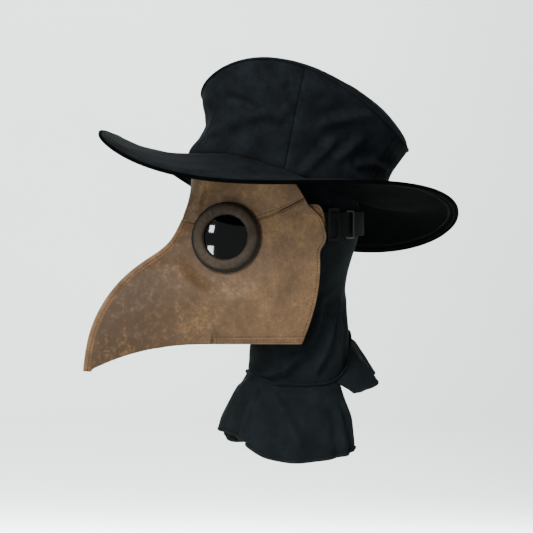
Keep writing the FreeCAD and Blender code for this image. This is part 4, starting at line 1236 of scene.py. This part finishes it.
@dataclass(frozen=True)
class HatForm:
    """Sizes of the hat in mm; turn 0 is the wearer's left and 90 degrees the rear."""

    crown: tuple[float, float] = (86.0, 113.0)
    base: tuple[float, ...] = (59.75, 7.5, -26, -2.25, -9)
    tip: tuple[float, float] = (98.0, 121.0)
    tip_back: float = 22.0
    tip_wave: tuple[float, ...] = (150, 12, -36, 14, -15)
    brim: tuple[float, float] = (165.0, 210.0)
    brim_back: float = -8.0
    brim_wave: tuple[float, ...] = (54, 18, -52, -8, 27, 3)
    dome: float = 4.0

    def base_ring(self, turn: Array, grow: float = 0.0) -> Array:
        """Points of the seam between crown and brim."""
        half, long = self.crown
        x, y = (half + grow) * np.cos(turn), (long + grow) * np.sin(turn)
        return np.stack([x, y, waves(turn, *self.base)], -1)

    def tip_ring(self, turn: Array, grow: float = 0.0) -> Array:
        """Points of the seam between the crown's side and its top."""
        half, long = self.tip
        y = self.tip_back + (long + grow) * np.sin(turn)
        return np.stack([(half + grow) * np.cos(turn), y, waves(turn, *self.tip_wave)], -1)

    def brim_edge(self, turn: Array, grow: float = 0.0) -> Array:
        """Points of the brim's outer edge."""
        half, long = self.brim
        y = self.brim_back + (long + grow) * np.sin(turn)
        return np.stack([(half + grow) * np.cos(turn), y, waves(turn, *self.brim_wave)], -1)

    def wall(self, turn: Array, share: Array, inset: float = 0.0) -> Array:
        """Points of the crown's side, drawn in at mid height."""
        low, high = self.base_ring(turn, -inset), self.tip_ring(turn, -inset)
        way = np.stack([np.cos(turn), np.sin(turn), np.zeros_like(turn)], -1)
        share = share[..., None]
        return low + (high - low) * share - way * 7 * np.sin(math.pi * share)


# Creases of the crown, as (degrees, share of height), then half width and height in mm.
CROWN_FOLDS = (
    (((-9, -0.1), (1.9, 0.25), (12.5, 0.56)), 4.5, 4.2),
    (((-4, 0.5), (12, 0.73), (29.8, 1.05)), 4.5, 4.0),
    (((-72, 0.12), (-46, 0.27), (-34, 0.35), (-16, 0.42)), 6.0, -4.4),
    (((-64, 0.68), (-46, 0.55), (-34, 0.46)), 4.5, -3.4),
    (((-30, 0.9), (-20, 0.6), (-26, 0.3)), 6.0, 2.6),
    (((24, 0.34), (38, 0.52), (60, 0.58)), 5.0, 4.0),
    (((10, 0.26), (20, 0.49), (27, 0.75)), 4.5, 3.2),
    (((44, 0.1), (36, 0.3), (20, 0.42)), 5.0, -2.8),
    (((130, 0.2), (146, 0.45), (150, 0.8)), 7.0, -2.4),
    (((196, 0.1), (188, 0.4), (200, 0.7)), 6.0, 2.2),
    (((232, 0.3), (250, 0.5), (262, 0.55)), 6.0, -2.0),
    (((88, 0.15), (94, 0.5), (84, 0.8)), 7.0, 1.8),
)


class Hat:
    """A tall soft suedette hat: six crown panels, a square top, and a wide floppy brim."""

    BODY, SLOT = "hat", "hat_suedette"
    CENTRE = (0, 10, 100)
    FIRST_SEAM = -15.0

    def __init__(self, form: HatForm, wardrobe: Wardrobe, stitching: Stitching) -> None:
        self.form, self.wardrobe, self.stitching = form, wardrobe, stitching
        self.thread = Dress(wardrobe.black_thread, self.BODY, self.SLOT)

    def build(self) -> None:
        """Builds crown, top, brim, binding and sweatband."""
        for index in range(6):
            self.build_panel(index)
        self.build_tip()
        self.build_brim()
        self.build_sweatband()

    def wall_relief(self, degrees: Array, share: Array) -> Array:
        """Creases and slack of the crown's side."""
        place = np.stack([degrees * 1.75, share * 95], 2)
        relief = np.zeros_like(share)
        for line, wide, deep in CROWN_FOLDS:
            for round_trip in (-360, 0):
                relief += fold(place, [((a + round_trip) * 1.75, b * 95) for a, b in line], wide, deep, 0.2)
        return relief

    def build_panel(self, index: int) -> None:
        """One panel of the crown, its edges turned into the seams."""
        start = self.FIRST_SEAM + 60 * index
        degrees, share = np.meshgrid(np.linspace(start, start + 60, 90), np.linspace(0, 0.992, 80))
        turn = np.radians(degrees)
        grid = self.form.wall(turn, share)
        round_trip = (degrees + 180) % 360 - 180
        relief = self.wall_relief(round_trip, share) * np.sin(math.pi * np.clip(share * 1.02, 0, 1)) ** 0.35
        from_side = np.minimum(degrees - start, start + 60 - degrees) * 1.75
        from_top = (1 - share) * 95
        pucker = np.sin(share * 70 + index) * np.exp(-from_side / 5) * 0.35
        ahead = np.exp(-(((round_trip + 90) / 45) ** 2))
        swell, waist = np.exp(-(((share - 0.12) / 0.16) ** 2)), np.exp(-(((share - 0.6) / 0.18) ** 2))
        relief += ahead * (6 * swell - 4.5 * waist)
        relief += groove(from_side, 1.8, 1.5) + groove(from_top, 2.2, 1.4)
        relief += groove(share * 95, 2.4, 3.2) + pucker
        slack = smooth(share / 0.2) * smooth((1 - share) / 0.2)
        relief += 1.6 * ripple(grid, 48, 31) * slack + 0.25 * ripple(grid, 18, 32)
        grid = raised(grid, relief, self.CENTRE)
        node = f"crown_panel_{index + 1}"
        dress = Dress(self.wardrobe.felt, self.BODY, self.SLOT, (node,))
        panel(f"suedette_{node}", grid, dress, 1.7, self.CENTRE)

    def build_tip(self) -> None:
        """The crown's top, a rounded square with a slack middle, and the corded seam round it."""
        v, u = np.meshgrid(np.linspace(-1, 1, 90), np.linspace(-1, 1, 90), indexing="ij")
        x, y = u * np.sqrt(1 - v * v / 2), v * np.sqrt(1 - u * u / 2)
        mean, c1, s1, c2, s2 = self.form.tip_wave
        far = x * x + y * y
        z = mean + c1 * x + s1 * y + c2 * (x * x - y * y) + s2 * 2 * x * y + self.form.dome * (1 - far)
        grid = np.stack([self.form.tip[0] * x, self.form.tip_back + self.form.tip[1] * y, z], 2)
        relief = 1.3 * ripple(grid, 55, 41) * smooth((1 - far) / 0.3) - 1.2 * np.exp(-(1 - far) / 0.03)
        bearing = np.degrees(np.arctan2(y, x))
        puff = 32 * np.exp(-(((bearing - 52) / 62) ** 2)) + 5 * np.exp(-(((bearing + 95) / 50) ** 2))
        grid[..., 2] += relief + 1.6 + puff * np.clip(1 - far, 0, 1) ** 0.42 * smooth(far / 0.6)
        dress = Dress(self.wardrobe.felt, self.BODY, self.SLOT, ("crown_tip",))
        panel("suedette_crown_tip", grid, dress, 1.7, (0, 20, -400))
        turn = np.linspace(0, 2 * math.pi, 300, endpoint=False)
        path = self.form.tip_ring(turn, -0.6) + np.array([0, 0, 0.3])
        out = path - np.array([0, self.form.tip_back, 150])
        dress = Dress(self.wardrobe.felt, self.BODY, self.SLOT)
        swept("seam_cord_tip", path, out, round_section(1.5), dress, closed=True)

    def brim_grid(self, lift: float, inset: float) -> tuple[Array, Array, Array]:
        """The brim between crown seam and edge: its grid, and turn and share at each point."""
        turn, share = np.meshgrid(np.linspace(-math.pi, math.pi, 320, endpoint=False), np.linspace(0, 1, 64))
        inner, outer = self.form.base_ring(turn, -3.5), self.form.brim_edge(turn, -inset)
        grid = inner + (outer - inner) * share[..., None]
        wide = np.linalg.norm(outer - inner, axis=2)
        from_edge = (1 - share) * wide
        relief = 1.6 * np.sin(math.pi * share) * ripple(grid[..., :2], 130, 51)
        relief += 0.35 * ripple(grid[..., :2], 34, 52) + 1.4 * np.exp(-share * wide / 4) - 0.4
        relief -= 1.8 * smooth((10 - from_edge) / 10) ** 1.4
        for row in (3.0, 8.0, 9.6):
            relief -= 0.35 * np.exp(-(((from_edge - row) / 0.7) ** 2))
        grid[..., 2] += relief + lift
        return grid, turn, from_edge

    def build_brim(self) -> None:
        """Upper and lower cloth of the brim, the bound edge and rows of topstitching."""
        runs = []
        for layer, lift, finish, slot in (
            ("top", 1.0, self.wardrobe.felt, self.SLOT),
            ("under", -1.4, self.wardrobe.lining, "brim_lining"),
        ):
            grid, turn, from_edge = self.brim_grid(lift, 2.4)
            nodes = (f"brim_{layer}_left", f"brim_{layer}_right")
            below = (0, 0, -4000) if layer == "top" else (0, 0, 4000)
            panel(f"cloth_brim_{layer}", grid, Dress(finish, self.BODY, slot, nodes), 1.2, below, loop=True)
            out = normals(grid, below)
            columns = np.arange(grid.shape[1] + 1) % grid.shape[1]
            for inset in (3.0, 8.0, 9.6):
                row = int(np.argmin(np.abs(from_edge[:, 0] - inset)))
                runs.append((grid[row, columns], out[row, columns]))
        self.stitching.sew("stitches_brim", runs, self.thread)
        turn = np.linspace(0, 2 * math.pi, 360, endpoint=False)
        path = self.form.brim_edge(turn, -1.9) + np.array([0, 0, -2.2])
        out = path - np.array([0, self.form.brim_back, 0])
        out[:, 2] = 0
        dress = Dress(self.wardrobe.lining, self.BODY, "brim_lining", ("brim_binding",))
        swept("binding_brim", path, out, rounded_box(3.2, 4.4, 1.4, 5), dress, closed=True)

    def build_sweatband(self) -> None:
        """The cotton tape inside the crown's seam."""
        turn = np.linspace(0, 2 * math.pi, 240, endpoint=False)
        levels = np.linspace(0.02, 0.28, 12)
        grid = np.stack([self.form.wall(turn, np.full_like(turn, s), 7.5) for s in levels])
        dress = Dress(self.wardrobe.lining, self.BODY, "sweatband_cotton", ("sweatband",))
        panel("cotton_sweatband", grid, dress, 1.0, self.CENTRE, loop=True)


# ---------------------------------------------------------------- studio and camera


@dataclass(frozen=True)
class Lamp:
    """A soft lamp: where it stands about the set, its size and power."""

    name: str
    across: float
    up: float
    toward: float
    wide: float
    tall: float
    watts: float
    tint: str = "#ffffff"


@dataclass(frozen=True)
class Studio:
    """A pale seamless sweep, soft lamps and a camera with a long lens; metres and degrees."""

    azimuth: float = 73.0
    elevation: float = 3.0
    distance: float = 2.2
    aim_right: float = 0.0236
    aim_up: float = 0.0339
    lens: float = 0.1292
    sensor: float = 0.036
    floor: float = -0.62
    backdrop: str = "#e8edeb"
    lamps: tuple[Lamp, ...] = (
        Lamp("key_softbox", -0.9, 1.45, 1.7, 0.9, 0.9, 58.0, "#fffaf3"),
        Lamp("window_strip", -1.48, -0.04, 1.72, 0.2, 0.5, 13.0, "#f6faff"),
        Lamp("window_pane", -1.4, 0.74, 1.6, 0.16, 0.22, 5.0, "#f6faff"),
        Lamp("window_high", -0.5, 1.0, 2.0, 0.14, 0.12, 3.0, "#f6faff"),
        Lamp("fill_softbox", 1.2, 0.7, 2.0, 1.0, 1.0, 9.0, "#f3f8ff"),
    )
    backdrop_lamps: tuple[Lamp, ...] = (
        Lamp("backdrop_high", -0.7, 1.9, -1.6, 2.4, 0.8, 175.0, "#f6fffb"),
        Lamp("backdrop_low", -0.4, -0.45, -1.4, 2.4, 0.5, 60.0, "#f6fffb"),
    )

    def axes(self) -> tuple[Array, Array, Array, Array]:
        """The camera's right, up and back directions, and the point it looks at."""
        a, e = math.radians(self.azimuth), math.radians(self.elevation)
        right = np.array([math.cos(a), math.sin(a), 0.0])
        back = np.array([math.sin(a) * math.cos(e), -math.cos(a) * math.cos(e), math.sin(e)])
        up = np.cross(back, right)
        aim = -right * self.aim_right - up * self.aim_up
        return right, up, back, aim

    def build(self) -> None:
        """Builds sweep, world, lamps and camera."""
        right, up, back, aim = self.axes()
        self.build_sweep(right, back)
        for lamp in self.lamps:
            self.hang(lamp, aim)
        for lamp in self.backdrop_lamps:
            self.hang(lamp, aim - back * 4.2 + right * lamp.across * 0.5)
        world = bpy.data.worlds.new("pale_room")
        world.use_nodes = True
        world.node_tree.nodes["Background"].inputs["Color"].default_value = linear("#e9efee")
        world.node_tree.nodes["Background"].inputs["Strength"].default_value = 0.38
        bpy.context.scene.world = world
        self.build_camera(right, up, back, aim)

    def hang(self, lamp: Lamp, target: Array) -> None:
        """Hangs a lamp and turns it to a target."""
        right, up, back, aim = self.axes()
        data = bpy.data.lights.new(lamp.name, "AREA")
        data.shape, data.size, data.size_y, data.energy = "RECTANGLE", lamp.wide, lamp.tall, lamp.watts
        data.color = linear(lamp.tint)[:3]
        obj = bpy.data.objects.new(lamp.name, data)
        obj.location = aim + right * lamp.across + up * lamp.up + back * lamp.toward
        obj.rotation_mode = "QUATERNION"
        obj.rotation_quaternion = (Vector(target) - obj.location).to_track_quat("-Z", "Y")
        bpy.context.scene.collection.objects.link(obj)

    def build_sweep(self, right: Array, back: Array) -> None:
        """A floor that curves up into a wall behind the set."""
        level, radius = 4.2, 1.2
        run = [(-7.0, 0.0), (level - radius, 0.0)]
        for t in np.radians(np.arange(5, 90, 5)):
            run.append((level - radius + radius * math.sin(t), radius - radius * math.cos(t)))
        run += [(level, radius), (level, 6.0)]
        away = -np.array([back[0], back[1], 0]) / math.hypot(back[0], back[1])
        sideways = np.array([right[0], right[1], 0])
        rows = [away * a + np.array([0, 0, self.floor + b]) for a, b in run]
        grid = np.stack([[row + sideways * s for s in np.linspace(-7, 7, 9)] for row in rows])
        index = np.arange(grid.shape[0] * grid.shape[1]).reshape(grid.shape[:2])
        cells = np.stack([index[:-1, :-1], index[:-1, 1:], index[1:, 1:], index[1:, :-1]], 2).reshape(-1, 4)
        sweep = make_mesh("studio_sweep", grid.reshape(-1, 3) / MM, cells.tolist())
        paper = Graph("backdrop_paper")
        tone = paper.between(paper.noise(900, 2), 0.0, 1.0)
        paper.set(Base_Color=paper.mix(tone, linear(self.backdrop), linear("#eef2f0")))
        paper.set(Roughness=0.95, IOR=1.3, Specular_IOR_Level=0.1)
        sweep.data.materials.append(paper.material)

    def build_camera(self, right: Array, up: Array, back: Array, aim: Array) -> None:
        """The camera: a nearly level view of the wearer's left side."""
        data = bpy.data.cameras.new("camera")
        data.sensor_width, data.lens = self.sensor / MM, self.lens / MM
        data.clip_start, data.clip_end = 0.05, 50
        camera = bpy.data.objects.new("camera", data)
        turn = Matrix(np.column_stack([right, up, back]).tolist()).to_4x4()
        camera.matrix_world = Matrix.Translation(Vector(aim + back * self.distance)) @ turn
        bpy.context.scene.collection.objects.link(camera)
        bpy.context.scene.camera = camera


def main() -> None:
    """Builds the set piece by piece, then its studio."""
    logging.basicConfig(level=logging.INFO, format="%(name)s: %(message)s")
    wardrobe, stitching, form = Wardrobe(), Stitching(), MaskForm()
    for name, build in (
        ("mask leather", Mask(form, wardrobe, stitching).build),
        ("goggles", lambda: Goggles(form).build(wardrobe, Stitching(3.0, 2.1, 0.28))),
        ("straps", lambda: Straps().build(wardrobe)),
        ("hood", Hood(HoodForm(), wardrobe, stitching).build),
        ("capelet", Capelet(CapeForm(), wardrobe).build),
        ("hat", Hat(HatForm(), wardrobe, stitching).build),
        ("studio", Studio().build),
    ):
        build()
        LOG.info("built %s", name)


if __name__ == "__main__":
    main()
